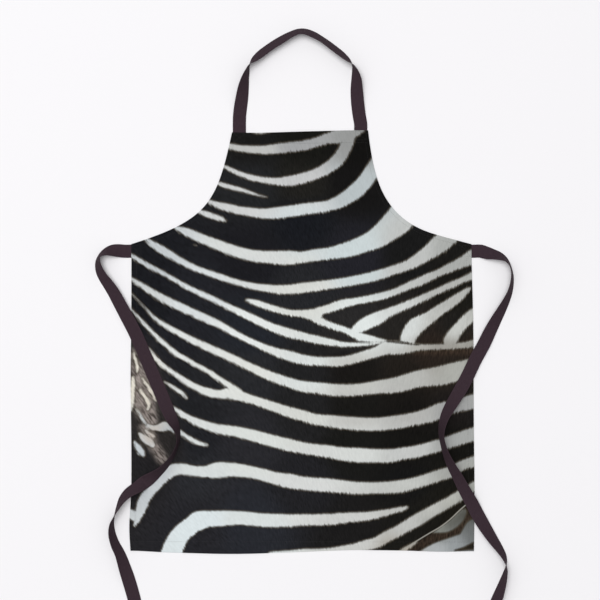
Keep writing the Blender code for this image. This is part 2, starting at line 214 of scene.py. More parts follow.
@dataclass
class Shell:
    """A closed flat piece: an upper and a lower grid joined by a rounded rim.

    The plan is place(u, v, inset), with u and v from 0 to 1 and the outline drawn in by inset. The rim
    lists (inset, height) from the upper grid's border, through the rim's rings, to the lower grid's.
    """

    place: Callable[[Array, Array, float], Array]
    u: Array
    v: Array
    rim: Sequence[tuple[float, Height]]
    coarse: int = 1
    lift: Callable[[Array, Array], Array] | None = None

    def layer(self, u: Array, v: Array, rung: tuple[float, Height]) -> Array:
        """Give the points of one layer of the piece at the rung's inset and height."""
        plan = self.place(u, v, rung[0])
        height = rung[1](plan) if callable(rung[1]) else np.full(len(plan), rung[1])
        if self.lift is not None:
            height = height + self.lift(u, v)
        return np.column_stack((plan, height))

    def build(self) -> tuple[Array, list, Array]:
        """Work out the shell.

        Returns:
            Its points, its faces, and 1 at the points of the upper grid and the rim, 0 underneath.
        """
        grid_u, grid_v = np.meshgrid(self.u, self.v)
        rows, columns = grid_u.shape
        loop = rim_loop(rows, columns)
        ring_u, ring_v = grid_u.ravel()[loop], grid_v.ravel()[loop]
        under_u, under_v = grid_u[:: self.coarse, :: self.coarse], grid_v[:: self.coarse, :: self.coarse]
        upper = self.layer(grid_u.ravel(), grid_v.ravel(), self.rim[0])
        rings = [self.layer(ring_u, ring_v, rung) for rung in self.rim[1:-1]]
        lower = self.layer(under_u.ravel(), under_v.ravel(), self.rim[-1])
        first = len(upper)
        base = first + len(loop) * len(rings)
        loops = [loop] + [first + k * len(loop) + np.arange(len(loop)) for k in range(len(rings))]
        faces = grid_quads(rows, columns).tolist()
        faces += (base + grid_quads(*under_u.shape)[:, ::-1]).tolist()
        for above, below in zip(loops[:-1], loops[1:]):
            band = (above, below, np.roll(below, -1), np.roll(above, -1))
            faces += np.stack(band, axis=1).tolist()
        last, under = loops[-1], base + rim_loop(*under_u.shape)
        band = [last[:: self.coarse], under, np.roll(under, -1)]
        band += [np.roll(last, -k)[:: self.coarse] for k in range(self.coarse, 0, -1)]
        faces += np.stack(band, axis=1).tolist()
        points = np.concatenate([upper, *rings, lower])
        face_up = np.concatenate((np.ones(base), np.zeros(len(lower))))
        corner, right, ahead = upper[0, :2], upper[columns - 1, :2], upper[-columns, :2]
        if np.cross(right - corner, ahead - corner) < 0:
            faces = [face[::-1] for face in faces]
        return points, faces, face_up


def rounded_rim(low: float, high: float, radius: float) -> list[tuple[float, Height]]:
    """Give the rim of a slab with rounded edges, from the upper face to the lower.

    Args:
        low: The level of its lower face.
        high: The level of its upper face.
        radius: The radius of its edges.

    Returns:
        The rim for Shell, as (inset, height).
    """
    middle = (low + high) / 2
    soft = radius * 0.3
    return [(radius, high), (soft, high - soft), (0.0, middle), (soft, low + soft), (radius, low)]


def rectangle_place(x_low: float, x_high: float, y_low: float, y_high: float) -> Callable:
    """Give the plan of a rectangle for Shell: straight lines between its sides, drawn in by the inset."""

    def place(u: Array, v: Array, inset: float) -> Array:
        """Give plan points at (u, v)."""
        x = x_low + inset + u * (x_high - x_low - 2 * inset)
        y = y_low + inset + v * (y_high - y_low - 2 * inset)
        return np.stack((x, y), axis=1)

    return place


def shares(length: float, step: float) -> Array:
    """Divide 0 to 1 evenly for a side of a length, into steps of about the given size."""
    return np.linspace(0.0, 1.0, max(2, round(length / step)) + 1)


def tape_profile() -> tuple[Array, Array]:
    """Work out a woven tape's cross-section, a flat bar with round, slightly thicker selvedges.

    At the share s across, half the height is 0.9 t/2 times 1 + 0.12 exp(-((|s| - 0.93) / 0.03)^2). Each
    edge narrows to 0.45 t at s = 1.

    Returns:
        The section's points (across, up) in metres anticlockwise, and their share across, -1 to 1.
    """
    flat = np.array((-0.965, -0.92, -0.86, -0.5, 0.0, 0.5, 0.86, 0.92, 0.965))
    swell = 1.0 + 0.12 * np.exp(-(((np.abs(flat) - 0.93) / 0.03) ** 2))
    upper = np.stack((flat, swell), axis=1)
    edge = np.array(((1.0, 0.5), (1.0, -0.5)))
    lower = upper[::-1] * (1.0, -1.0)
    section = np.concatenate((lower[::-1], edge[::-1], upper[::-1], edge * (-1.0, 1.0)))
    return section * (TAPE_WIDTH / 2, TAPE_THICKNESS / 2 * 0.9), section[:, 0]


def ribbon(centres: Array, across: Array, up: Array) -> tuple[Array, list, dict[str, Array]]:
    """Carry the tape's section along a line and close its ends.

    Each row of points is the centre plus the section's two coordinates along across and up.

    Args:
        centres: The tape's middle line.
        across: Unit vectors over the tape's width at each centre.
        up: Unit vectors out of its face at each centre.

    Returns:
        The points, the faces and the vertex numbers along (metres) and across (-1 to 1).
    """
    section, share = tape_profile()
    side = len(section)
    rows = len(centres)
    points = centres[:, None] + section[None, :, :1] * across[:, None] + section[None, :, 1:] * up[:, None]
    points = points.reshape(-1, 3)
    grid = np.arange(rows * side).reshape(rows, side)
    ahead, around = grid[1:], np.roll(grid, -1, axis=1)
    quads = np.stack((grid[:-1], around[:-1], around[1:], ahead), axis=-1).reshape(-1, 4)
    faces = quads.tolist() + [grid[0, ::-1].tolist(), grid[-1].tolist()]
    run = np.concatenate(((0.0,), np.cumsum(np.linalg.norm(np.diff(centres, axis=0), axis=1))))
    return points, faces, {"along": np.repeat(run, side), "across": np.tile(share, rows)}


def stitch_shape(length: float, thread: float) -> tuple[Array, list]:
    """Work out one stitch, a short arched spindle of thread along x.

    At the share s from the middle its radius is thread/2 times (1 - 0.9 s^6)^(1/2), and it has sunk by
    0.55 s^4 threads.

    Args:
        length: The stitch's length.
        thread: The thread's thickness.

    Returns:
        The points and the faces.
    """
    s = np.array((-1.0, -0.86, -0.45, 0.45, 0.86, 1.0))
    radius = thread / 2 * np.sqrt(1.0 - 0.9 * s**6)
    angle = np.arange(6) * math.tau / 6
    y = radius[:, None] * np.cos(angle)
    z = radius[:, None] * np.sin(angle) - (0.55 * thread * s**4)[:, None]
    x = np.repeat((s * length / 2)[:, None], 6, axis=1)
    points = np.stack((x, y, z), axis=-1).reshape(-1, 3)
    grid = np.arange(36).reshape(6, 6)
    around = np.roll(grid, -1, axis=1)
    quads = np.stack((grid[:-1], around[:-1], around[1:], grid[1:]), axis=-1).reshape(-1, 4)[:, ::-1]
    return points, quads.tolist() + [grid[0].tolist(), grid[-1, ::-1].tolist()]


# ---------------------------------------------------------------------------------------------------
# Shader maths
# ---------------------------------------------------------------------------------------------------


class Socket:
    """A number in a shader, on which Python's operators add Math nodes."""

    def __init__(self, graph: "Graph", output: bpy.types.NodeSocket) -> None:
        """Wrap an output of a node of the graph."""
        self.graph = graph
        self.output = output

    def math(self, operation: str, *values: "Socket | float") -> "Socket":
        """Add a Math node that works on the values in order."""
        inputs = dict(enumerate(values))
        return self.graph.node("ShaderNodeMath", {"operation": operation}, inputs)

    def __add__(self, other: "Socket | float") -> "Socket":
        """Add."""
        return self.math("ADD", self, other)

    def __radd__(self, other: float) -> "Socket":
        """Add to a number."""
        return self.math("ADD", other, self)

    def __sub__(self, other: "Socket | float") -> "Socket":
        """Subtract."""
        return self.math("SUBTRACT", self, other)

    def __rsub__(self, other: float) -> "Socket":
        """Subtract from a number."""
        return self.math("SUBTRACT", other, self)

    def __mul__(self, other: "Socket | float") -> "Socket":
        """Multiply."""
        return self.math("MULTIPLY", self, other)

    def __rmul__(self, other: float) -> "Socket":
        """Multiply a number."""
        return self.math("MULTIPLY", other, self)

    def __truediv__(self, other: "Socket | float") -> "Socket":
        """Divide."""
        return self.math("DIVIDE", self, other)

    def __rtruediv__(self, other: float) -> "Socket":
        """Divide a number."""
        return self.math("DIVIDE", other, self)

    def __abs__(self) -> "Socket":
        """Drop the sign."""
        return self.math("ABSOLUTE", self)

    def sine(self) -> "Socket":
        """Take the sine."""
        return self.math("SINE", self)

    def at_least(self, other: "Socket | float") -> "Socket":
        """Take the larger."""
        return self.math("MAXIMUM", self, other)

    def rise(self, low: float, high: float) -> "Socket":
        """Rise smoothly from 0 at low to 1 at high."""
        settings = {"interpolation_type": "SMOOTHSTEP"}
        inputs = {"Value": self, "From Min": low, "From Max": high}
        return self.graph.node("ShaderNodeMapRange", settings, inputs)


class Graph:
    """A material's node tree around its Principled shader."""

    def __init__(self, name: str) -> None:
        """Make the material."""
        self.material = bpy.data.materials.new(name)
        self.material.use_nodes = True
        self.nodes = self.material.node_tree.nodes
        self.links = self.material.node_tree.links
        self.shader = self.nodes["Principled BSDF"]

    def node(self, kind: str, settings: dict | None = None, inputs: dict | None = None,
             output: int | str = 0) -> Socket:
        """Add a node.

        Args:
            kind: The node's type.
            settings: Its properties, set first.
            inputs: The values or links of its sockets, by name or number.
            output: The output to give back, by name or number.

        Returns:
            The chosen output.
        """
        node = self.nodes.new(kind)
        for key, value in (settings or {}).items():
            setattr(node, key, value)
        for key, value in (inputs or {}).items():
            self.feed(node.inputs[key], value)
        return Socket(self, node.outputs[output])

    def feed(self, target: bpy.types.NodeSocket, value: "Socket | float | Sequence[float]") -> None:
        """Link a value to a socket, or set it there."""
        if isinstance(value, Socket):
            self.links.new(value.output, target)
        elif isinstance(value, (int, float)):
            target.default_value = value
        else:
            size = len(target.default_value)
            target.default_value = (tuple(value) + (1.0,))[:size]

    def attribute(self, name: str) -> Socket:
        """Read a number kept at the vertices."""
        return self.node("ShaderNodeAttribute", {"attribute_name": name}, output="Fac")

    def tint(self, name: str) -> Socket:
        """Read a colour kept at the vertices."""
        return self.node("ShaderNodeAttribute", {"attribute_name": name}, output="Color")

    def object_axes(self) -> tuple[Socket, Socket, Socket]:
        """Read the place in the object's own metres."""
        place = self.node("ShaderNodeTexCoord", output="Object")
        split = self.node("ShaderNodeSeparateXYZ", inputs={0: place})
        outputs = split.output.node.outputs
        return Socket(self, outputs[0]), Socket(self, outputs[1]), Socket(self, outputs[2])

    def vector(self, x: "Socket | float", y: "Socket | float", z: "Socket | float" = 0.0) -> Socket:
        """Join three numbers."""
        return self.node("ShaderNodeCombineXYZ", inputs={0: x, 1: y, 2: z})

    def noise(self, place: Socket, scale: float = 1.0, detail: float = 2.0, roughness: float = 0.5) -> Socket:
        """Read smooth noise, about 0 to 1."""
        inputs = {"Vector": place, "Scale": scale, "Detail": detail, "Roughness": roughness}
        return self.node("ShaderNodeTexNoise", inputs=inputs)

    def mix(self, first: "Socket | Sequence[float]", second: "Socket | Sequence[float]",
            share: "Socket | float", blend: str = "MIX") -> Socket:
        """Mix two colours."""
        settings = {"data_type": "RGBA", "blend_type": blend, "clamp_factor": True}
        return self.node("ShaderNodeMix", settings, {0: share, 6: first, 7: second}, 2)

    def scale_colour(self, colour: "Socket | Sequence[float]", amount: Socket) -> Socket:
        """Multiply a colour by a number."""
        return self.node("ShaderNodeVectorMath", {"operation": "SCALE"}, {0: colour, "Scale": amount})

    def bump(self, height: Socket, strength: float, distance: float) -> Socket:
        """Turn a height into a normal."""
        inputs = {"Height": height, "Strength": strength, "Distance": distance}
        return self.node("ShaderNodeBump", inputs=inputs, output="Normal")

    def dress(self, **values: "Socket | float | Sequence[float]") -> bpy.types.Material:
        """Feed the Principled shader; an underscore in a name stands for a space."""
        for key, value in values.items():
            self.feed(self.shader.inputs[key.replace("_", " ")], value)
        return self.material


def linear(colour: Sequence[float]) -> tuple[float, ...]:
    """Turn an sRGB colour of 0 to 255 into linear light, ((c + 0.055) / 1.055)^2.4."""
    encoded = np.asarray(colour, dtype=float) / 255.0
    light = np.where(encoded <= 0.04045, encoded / 12.92, ((encoded + 0.055) / 1.055) ** 2.4)
    return tuple(float(channel) for channel in light)


# ---------------------------------------------------------------------------------------------------
# The print
# ---------------------------------------------------------------------------------------------------

# Pale stripes from the bib down to the hem: (x, y, half width) along each, in the print's millimetres.
PALE_STRIPES: tuple[Knots, ...] = (
    ((-98, 799, 1.5), (-85, 797, 3), (-60, 799, 2)),
    ((-150, 772, 4), (-140, 771, 6), (-120, 767, 6.5), (-100, 765, 7.5), (-75, 764, 8.5), (-50, 766, 10),
     (-25, 769, 10), (0, 772, 10), (25, 778, 9.5), (50, 786, 11), (72, 790, 14), (95, 794, 9), (115, 800, 3)),
    ((-155, 735, 3), (-140, 728, 4.5), (-120, 719, 5), (-100, 712, 6), (-75, 707, 6), (-50, 704, 7.5),
     (-25, 705, 10), (0, 710, 10.5), (25, 718, 10.5), (50, 731, 11.5), (67, 745, 12.5), (78, 762, 12),
     (86, 780, 12), (92, 803, 12)),
    ((-162, 701, 4), (-140, 694, 5), (-120, 689, 4.5), (-100, 683, 3.5), (-80, 677, 2), (-68, 674, 1)),
    ((-180, 668, 3), (-160, 659, 6.5), (-140, 654, 8), (-120, 649, 8), (-100, 646, 9), (-75, 643, 10),
     (-50, 644, 11.5), (-25, 647, 11.5), (0, 651, 11.5), (25, 654, 11), (50, 658, 11), (75, 668, 13),
     (100, 685, 15), (118, 703, 15), (130, 720, 15), (142, 738, 15)),
    ((-200, 649, 4), (-180, 641, 6), (-165, 636, 5.5), (-153, 632, 4.5), (-147, 629, 2.5)),
    ((-245, 618, 3), (-220, 608, 8), (-190, 595, 9), (-160, 583, 10.5), (-130, 572, 11), (-100, 564, 11.5),
     (-60, 560, 12.5), (-25, 559, 14), (0, 560, 11.5), (25, 564, 12), (50, 567, 12), (75, 572, 14),
     (100, 579, 16), (120, 587, 17), (140, 596, 20), (160, 611, 23), (180, 628, 27), (196, 646, 28)),
    ((-300, 596, 3), (-280, 582, 7), (-260, 570, 8), (-240, 558, 7), (-220, 547, 6.5), (-200, 538, 6),
     (-160, 524, 6.5), (-120, 511, 6), (-75, 502, 7.5), (-25, 499, 9.5), (0, 502, 10), (50, 508, 9.5),
     (100, 516, 9.5), (140, 525, 10), (180, 538, 9.5), (200, 545, 10), (220, 556, 12), (240, 569, 14.5),
     (262, 586, 18), (285, 606, 18)),
    ((-328, 565, 4), (-300, 548, 5), (-260, 527, 4.5), (-220, 504, 5), (-180, 485, 6), (-140, 466, 6),
     (-100, 447, 7.5), (-60, 428, 8), (-25, 416, 9), (0, 410, 8), (25, 404, 8), (50, 399, 7), (75, 395, 5),
     (100, 394, 4), (125, 395, 3), (157, 399, 2.5), (190, 398, 2.5), (215, 394, 2.5), (250, 390, 3),
     (276, 390, 3), (300, 394, 3), (324, 399, 4.5)),
    ((-106, 479, 3), (-90, 474, 6), (-75, 469, 6.5), (-50, 461, 6.5), (-25, 455, 6.5), (0, 453, 7.5),
     (25, 450, 13.5)),
    ((25, 455, 8.5), (50, 463, 8.5), (75, 471, 9), (100, 476, 7.5), (140, 484, 7.5), (180, 496, 7),
     (200, 505, 7.5), (220, 513, 8.5), (240, 522, 8.5), (260, 531, 7.5), (280, 540, 9), (300, 549, 10.5),
     (325, 561, 15)),
    ((25, 443, 8), (50, 432, 6.5), (75, 424, 6), (95, 415, 7), (110, 409, 8), (125, 406, 7), (140, 403, 5.5),
     (157, 401, 3)),
    ((92, 414, 5), (104, 424, 10), (120, 434, 12.5), (140, 443, 13), (160, 453, 10), (180, 462, 8),
     (200, 470, 8), (220, 479, 7), (240, 488, 7), (260, 497, 6.5), (280, 506, 7), (300, 515, 6),
     (325, 526, 8)),
    ((199, 400, 14), (203, 412, 15.5), (211.5, 425, 16.5), (240, 445, 12.5), (260, 459, 11), (280, 472, 10),
     (300, 487, 8), (316, 500, 4)),
    ((280, 400, 13), (283, 406, 13), (291.5, 419, 11.5), (302, 431, 11), (314, 443, 11.5), (328, 453, 12)),
    ((-328, 521, 3), (-300, 503, 6), (-280, 490, 7), (-260, 479, 8), (-230, 465, 8), (-200, 451, 8),
     (-160, 433, 7.5), (-120, 411, 6), (-75, 390, 6.5), (-50, 380, 8), (-25, 373, 9.5), (0, 366, 9.5),
     (25, 363, 8.5), (60, 362, 9), (85, 364, 9), (100, 368, 9), (120, 374, 9.5), (140, 380, 10),
     (160, 388, 13), (185, 387, 11.5), (205, 388, 8.5), (224, 389, 6), (250, 389.5, 5.5), (285, 391, 5.5),
     (328, 395, 6.5)),
    ((-328, 494, 1.5), (-300, 465, 2), (-280, 444, 4), (-260, 430, 5), (-240, 419, 5.5), (-210, 403, 6.5),
     (-180, 389, 7), (-140, 371, 7.5), (-100, 352, 7.5), (-60, 334, 9), (-25, 322, 9.5), (0, 315, 10.5),
     (25, 312, 11), (60, 308, 11.5), (100, 308, 11.5), (140, 313, 12.5), (180, 318, 15), (220, 329, 16),
     (260, 335, 18), (285, 341, 18.5), (305, 347, 17), (328, 354, 16)),
    ((-326, 462, 2), (-300, 433, 4), (-280, 412, 4), (-260, 394, 4.5), (-240, 377, 5), (-220, 366, 4.5),
     (-200, 354, 4.5), (-180, 344, 4.5), (-160, 330, 5), (-146, 321, 5.5), (-132, 311, 7), (-120, 301, 8)),
    ((-292, 388, 1.5), (-280, 370, 4), (-260, 350, 4.5), (-240, 337, 4.5), (-220, 323, 6), (-200, 312, 6.5),
     (-180, 304, 8), (-160, 300, 8), (-140, 301, 10.5), (-120, 297, 10), (-100, 291, 8.5), (-60, 278, 9),
     (-25, 266, 10), (0, 259, 10.5), (25, 252, 10.5), (50, 249, 11.5), (100, 244, 12.5), (140, 243, 12.5),
     (180, 247, 13), (220, 255, 12.5), (240, 260, 14), (262, 269, 14.5), (285, 276, 12), (305, 281, 13),
     (328, 287, 14)),
    ((-262, 323, 1.5), (-250, 316, 3), (-238, 308, 3.5), (-226, 299, 3.5), (-220, 293, 2)),
    ((-245, 275, 2), (-232, 264, 5.5), (-220, 257, 5.5), (-200, 247, 7.5), (-180, 240, 8), (-160, 234, 9),
     (-140, 231, 10), (-100, 223, 11), (-60, 212, 11.5), (-25, 203, 12), (0, 198, 11), (50, 191, 12),
     (80, 186, 13), (110, 184, 14), (140, 183, 13), (165, 183, 13), (190, 187, 11.5), (220, 192, 11.5),
     (250, 200, 11.5), (270, 206, 11.5), (300, 216, 12.5), (328, 225, 13)),
    ((-233, 228, 4.5), (-220, 219, 4.5), (-205, 211, 4.5), (-190, 205, 3.5), (-182, 203, 2.5)),
    ((-318, 52, 3), (-313, 64, 6), (-306, 84, 10), (-301, 98, 11), (-292, 112, 10), (-278, 127, 9.5),
     (-262, 144, 10.5), (-246, 156, 11.5), (-228, 158, 10.5), (-205, 154, 10), (-185, 153, 11),
     (-160, 156, 15), (-140, 157, 13.5), (-110, 154, 12), (-75, 147, 11.5), (-50, 140, 12), (-25, 135, 14),
     (0, 131, 13), (50, 127, 13), (100, 122, 12), (140, 122, 11), (180, 124, 12), (220, 133, 11),
     (260, 146, 11), (285, 154, 10.5), (300, 163, 9.5), (328, 173, 10.5)),
    ((-332, 75, 8), (-322, 70, 9), (-314, 62, 6)),
    ((-250, -6, 20), (-241, 18, 19), (-229, 36, 17.5), (-212, 50, 17), (-197, 60, 18), (-180, 63, 15.5),
     (-160, 64, 15), (-120, 65, 13), (-75, 61, 13), (-25, 60, 12), (0, 61, 11), (50, 62, 11), (90, 66, 9.5),
     (120, 68, 8.5), (150, 73, 7), (175, 79, 5), (192, 83, 4), (198, 85, 2.5)),
    ((-60, -4, 5), (-25, -1, 4.5), (0, 1, 5), (50, 1, 7), (75, 4, 8), (100, 8, 9), (120, 13, 10),
     (140, 18, 10.5), (160, 29, 11), (180, 39, 10.5), (200, 51, 11), (220, 62, 12), (240, 74, 11),
     (260, 85, 10.5), (280, 96, 10), (300, 108, 10), (328, 126, 9)),
    ((222, -6, 6), (242, -4, 15), (261, 1, 19), (280, 4, 22.5), (299, 8, 25), (312, 14, 24), (330, 40, 24)),
    ((178, -6, 2), (190, 2, 4.5), (204, 11, 3.5), (216, 19, 2)),
    ((248, 37, 0.5), (261, 41, 4.5), (271, 45, 7.8), (280, 49.5, 8.8), (290, 57, 9.2), (299, 66.5, 9),
     (306, 76, 6)),
    ((-206, 584, 0.6), (-202, 582, 0.6)),
    ((-321, 378, 2), (-316.5, 362, 3.2), (-313.5, 350, 3.4), (-314, 342, 2)),
    ((-304, 330, 2.2), (-296, 318, 3.2), (-289, 308, 3.6), (-283, 297, 3.2), (-279, 289, 2)),
    ((-309, 308, 2.5), (-302, 299, 3.6), (-296, 291, 3.8), (-291.5, 281, 4), (-294, 271, 2.5)),
    ((-322, 332, 3), (-322, 318, 4.5), (-323, 300, 4.5), (-324, 282, 4), (-325, 270, 2)),
    ((-316, 272, 2), (-308, 260, 3), (-301, 248, 3), (-294, 238, 2.5)),
    ((-298, 231, 2), (-290, 224, 3.4), (-282, 219, 3)),
    ((-294, 240, 4), (-284, 236, 5), (-273, 236, 7), (-261, 239, 9), (-252, 237, 6), (-244, 228, 3)),
    ((-309, 225, 3), (-302, 217, 7), (-293, 211, 8), (-285, 204, 5)),
    ((-319, 209, 2.5), (-313, 200, 5.5), (-306, 190, 6.5), (-302, 184, 3)),
)

# Dark shapes laid over them.
DARK_SHAPES: tuple[Knots, ...] = (
    ((290, 3, 1.5), (305, 6, 3), (326, 12, 7)),
    ((160, 400.5, 1.2), (185, 398.2, 1.6), (204, 396, 1.3), (222, 393.8, 0.6)),
)

# Streaky grey and tan ground, brown bands, and the thin light line of a crease in the pictured hide.
GREY_GROUND: tuple[Knots, ...] = (
    ((-322, 378, 6), (-313, 350, 12), (-305, 320, 18), (-303, 295, 22), (-298, 272, 18), (-290, 250, 13)),
    ((-300, 236, 8), (-292, 222, 10), (-284, 205, 8), (-274, 190, 9), (-266, 176, 8)),
)
BROWN_BANDS: tuple[Knots, ...] = (
    ((215, 380, 4), (240, 381, 6), (270, 381, 6.5), (300, 382, 7), (326, 381, 9)),
    ((205, 1, 5), (223, 13, 8), (242, 24, 9), (261, 29, 7.5), (280, 34, 6.5), (290, 38, 7), (299, 46, 8.5),
     (309, 60, 10), (326, 84, 10)),
)
CREASE: Knots = ((184, -4, 0), (190, 3.5, 0), (204, 13, 0), (223, 25, 0), (242, 36.5, 0), (261, 47.5, 0),
                 (280, 62, 0), (299, 80, 0), (320, 98, 0))

# Tones of the hair over the cloth: (x, y), pale and dark, in sRGB.
TONES: tuple[tuple, ...] = (
    ((-100, 770), (189, 190, 187), (27, 27, 26)), ((0, 775), (160, 161, 162), (24, 24, 21)),
    ((100, 770), (150, 151, 150), (19, 18, 17)), ((-100, 700), (206, 207, 206), (37, 38, 40)),
    ((0, 700), (197, 198, 198), (34, 33, 30)), ((100, 700), (184, 192, 194), (22, 21, 21)),
    ((0, 630), (208, 215, 216), (25, 27, 32)), ((-290, 560), (196, 201, 203), (28, 29, 33)),
    ((-100, 560), (214, 217, 215), (29, 29, 33)), ((100, 560), (203, 213, 214), (36, 36, 42)),
    ((200, 565), (192, 194, 192), (26, 26, 26)), ((290, 555), (170, 172, 169), (27, 26, 24)),
    ((-200, 490), (215, 220, 221), (35, 36, 41)), ((0, 490), (215, 217, 212), (39, 40, 43)),
    ((290, 490), (180, 181, 177), (27, 26, 22)), ((-100, 420), (229, 233, 231), (37, 40, 46)),
    ((100, 420), (225, 231, 229), (44, 43, 43)), ((200, 420), (214, 218, 216), (39, 37, 35)),
    ((290, 420), (203, 205, 201), (32, 31, 29)), ((-100, 340), (222, 224, 219), (42, 43, 46)),
    ((0, 340), (218, 223, 221), (35, 35, 36)), ((100, 345), (196, 197, 192), (26, 24, 22)),
    ((200, 345), (184, 185, 181), (34, 30, 26)), ((295, 350), (174, 175, 169), (42, 37, 32)),
    ((0, 270), (212, 214, 209), (35, 35, 36)), ((100, 270), (192, 192, 188), (26, 25, 23)),
    ((200, 270), (180, 180, 177), (24, 22, 20)), ((295, 275), (162, 163, 162), (31, 28, 27)),
    ((-100, 210), (218, 222, 218), (43, 43, 47)), ((100, 200), (212, 215, 212), (26, 26, 24)),
    ((200, 200), (196, 198, 196), (22, 21, 19)), ((295, 205), (168, 170, 168), (22, 21, 19)),
    ((-295, 150), (195, 200, 203), (37, 36, 38)), ((-200, 140), (215, 220, 219), (44, 45, 49)),
    ((0, 130), (214, 216, 214), (35, 35, 38)), ((200, 130), (194, 196, 192), (22, 22, 22)),
    ((295, 140), (165, 166, 162), (26, 25, 22)), ((-200, 60), (219, 228, 230), (39, 39, 43)),
    ((-100, 60), (217, 223, 222), (42, 44, 50)), ((100, 50), (204, 205, 202), (29, 28, 28)),
    ((200, 50), (191, 192, 189), (27, 26, 24)), ((288, 18), (152, 157, 159), (44, 39, 33)),
    ((262, 44), (126, 128, 120), (24, 22, 18)), ((282, 55), (84, 84, 78), (26, 24, 18)),
    ((305, 74), (60, 59, 52), (32, 28, 22)), ((318, 36), (108, 111, 111), (40, 36, 30)),
    ((250, 80), (192, 193, 188), (28, 27, 24)), ((285, 98), (188, 189, 182), (26, 25, 20)),
    ((322, 122), (166, 168, 162), (24, 23, 20)), ((255, 2), (176, 180, 182), (30, 26, 22)),
    ((196, 4), (168, 162, 152), (28, 27, 24)), ((225, 388), (176, 174, 168), (44, 36, 31)),
    ((290, 389), (150, 147, 140), (44, 36, 31)), ((325, 391), (150, 148, 141), (44, 36, 31)),
    ((-312, 330), (226, 221, 208), (62, 57, 55)), ((-290, 290), (222, 216, 203), (58, 54, 52)),
    ((-300, 240), (196, 203, 206), (50, 47, 46)), ((-262, 215), (190, 198, 202), (48, 45, 44)),
    ((-310, 200), (196, 204, 209), (36, 35, 37)), ((-200, 330), (221, 224, 220), (38, 39, 42)),
    ((-289, 224), (198, 182, 166), (48, 45, 44)),
    ((-240, 400), (222, 225, 223), (34, 35, 40)), ((-230, 330), (222, 224, 222), (33, 34, 38)),
    ((-215, 270), (218, 221, 219), (34, 35, 38)), ((-300, 470), (205, 208, 207), (27, 28, 32)),
    ((-205, 215), (217, 221, 219), (35, 36, 40)), ((255, 385), (152, 149, 143), (44, 36, 31)),
)


def stroke_depth(knots: Knots, places: Array, reach: float = 40.0) -> Array:
    """Measure how deep places lie inside a stroke of changing width.

    The depth is the largest, over the stroke's short straight pieces, of the half width at the nearest
    point minus the distance to it, and is negative outside.

    Args:
        knots: The stroke's (x, y, half width).
        places: The places, (n, 2), in the print's millimetres.
        reach: The distance past which the depth no longer matters.

    Returns:
        The depth at each place, no less than -reach.
    """
    line = smooth_curve(knots, 4.0)
    depth = np.full(len(places), -reach)
    margin = reach + line[:, 2].max()
    past_low = places > line[:, :2].min(axis=0) - margin
    short_of_high = places < line[:, :2].max(axis=0) + margin
    inside = np.all(past_low & short_of_high, axis=1)
    near = places[inside]
    start, along = line[:-1, :2], np.diff(line[:, :2], axis=0)
    offset = near[:, None] - start[None]
    share = np.clip((offset * along).sum(axis=2) / (along**2).sum(axis=1), 0.0, 1.0)
    distance = np.linalg.norm(offset - share[..., None] * along, axis=2)
    width = line[:-1, 2] + share * np.diff(line[:, 2])
    depth[inside] = np.maximum((width - distance).max(axis=1), -reach)
    return depth


@dataclass
class ZebraPrint:
    """The print, worked out at any places of the cloth as numbers kept at its vertices."""

    bottom: float
    blend: float = 24.0
    lean_step: float = 1.5

    def stripes(self, places: Array) -> Array:
        """Give the depth in millimetres inside the pale stripes, negative in the dark ones."""
        depth = np.full(len(places), -40.0)
        for knots in PALE_STRIPES:
            depth = np.maximum(depth, stroke_depth(knots, places))
        for knots in DARK_SHAPES:
            depth = np.minimum(depth, -stroke_depth(knots, places))
        return depth

    def tones(self, places: Array, which: int) -> Array:
        """Spread the chosen tones over the cloth, each weighted by (distance^2 + blend^2)^-2.5."""
        centres = np.array([row[0] for row in TONES], dtype=float)
        colours = np.array([linear(row[which]) for row in TONES])
        distance = ((places[:, None] - centres[None]) ** 2).sum(axis=2)
        weight = 1.0 / (distance + self.blend**2) ** 2.5
        return weight @ colours / weight.sum(axis=1, keepdims=True)

    def cover(self, strokes: Sequence[Knots], places: Array, soft: float) -> Array:
        """Give 1 inside any of the strokes and 0 outside, over a soft border."""
        depth = np.full(len(places), -40.0)
        for knots in strokes:
            depth = np.maximum(depth, stroke_depth(knots, places))
        return smoothstep(-soft, soft, depth)

    def crease_offset(self, places: Array) -> Array:
        """Give the signed distance up from the crease line, far beyond its ends."""
        line = smooth_curve(CREASE, 4.0)
        level = np.interp(places[:, 0], line[:, 0], line[:, 1])
        slope = np.interp(places[:, 0], line[:, 0], np.gradient(line[:, 1], line[:, 0]))
        offset = (places[:, 1] - level) / np.sqrt(1.0 + slope**2)
        beyond = np.maximum(line[0, 0] - places[:, 0], 0.0)
        return np.clip(offset + beyond * 4.0, -30.0, 30.0)

    def attributes(self, points: Array, face_up: Array) -> dict[str, Array]:
        """Work out every number of the print at a piece's vertices.

        Args:
            points: The piece's vertices in metres.
            face_up: 1 where the printed face shows, 0 on the back of the cloth.

        Returns:
            The numbers and colours by attribute name.
        """
        places = np.stack((points[:, 0], points[:, 1] - self.bottom), axis=1) / MM
        stripe = self.stripes(places)
        above = self.stripes(places + (0.0, self.lean_step))
        return {
            "stripe": stripe,
            "lean": (above - stripe) / self.lean_step,
            "grey_ground": self.cover(GREY_GROUND, places, 9.0),
            "brown_band": self.cover(BROWN_BANDS, places, 6.0),
            "crease": self.crease_offset(places),
            "pale_tone": self.tones(places, 1),
            "dark_tone": self.tones(places, 2),
            "printed": face_up,
        }


# ---------------------------------------------------------------------------------------------------
# Finishes
# ---------------------------------------------------------------------------------------------------


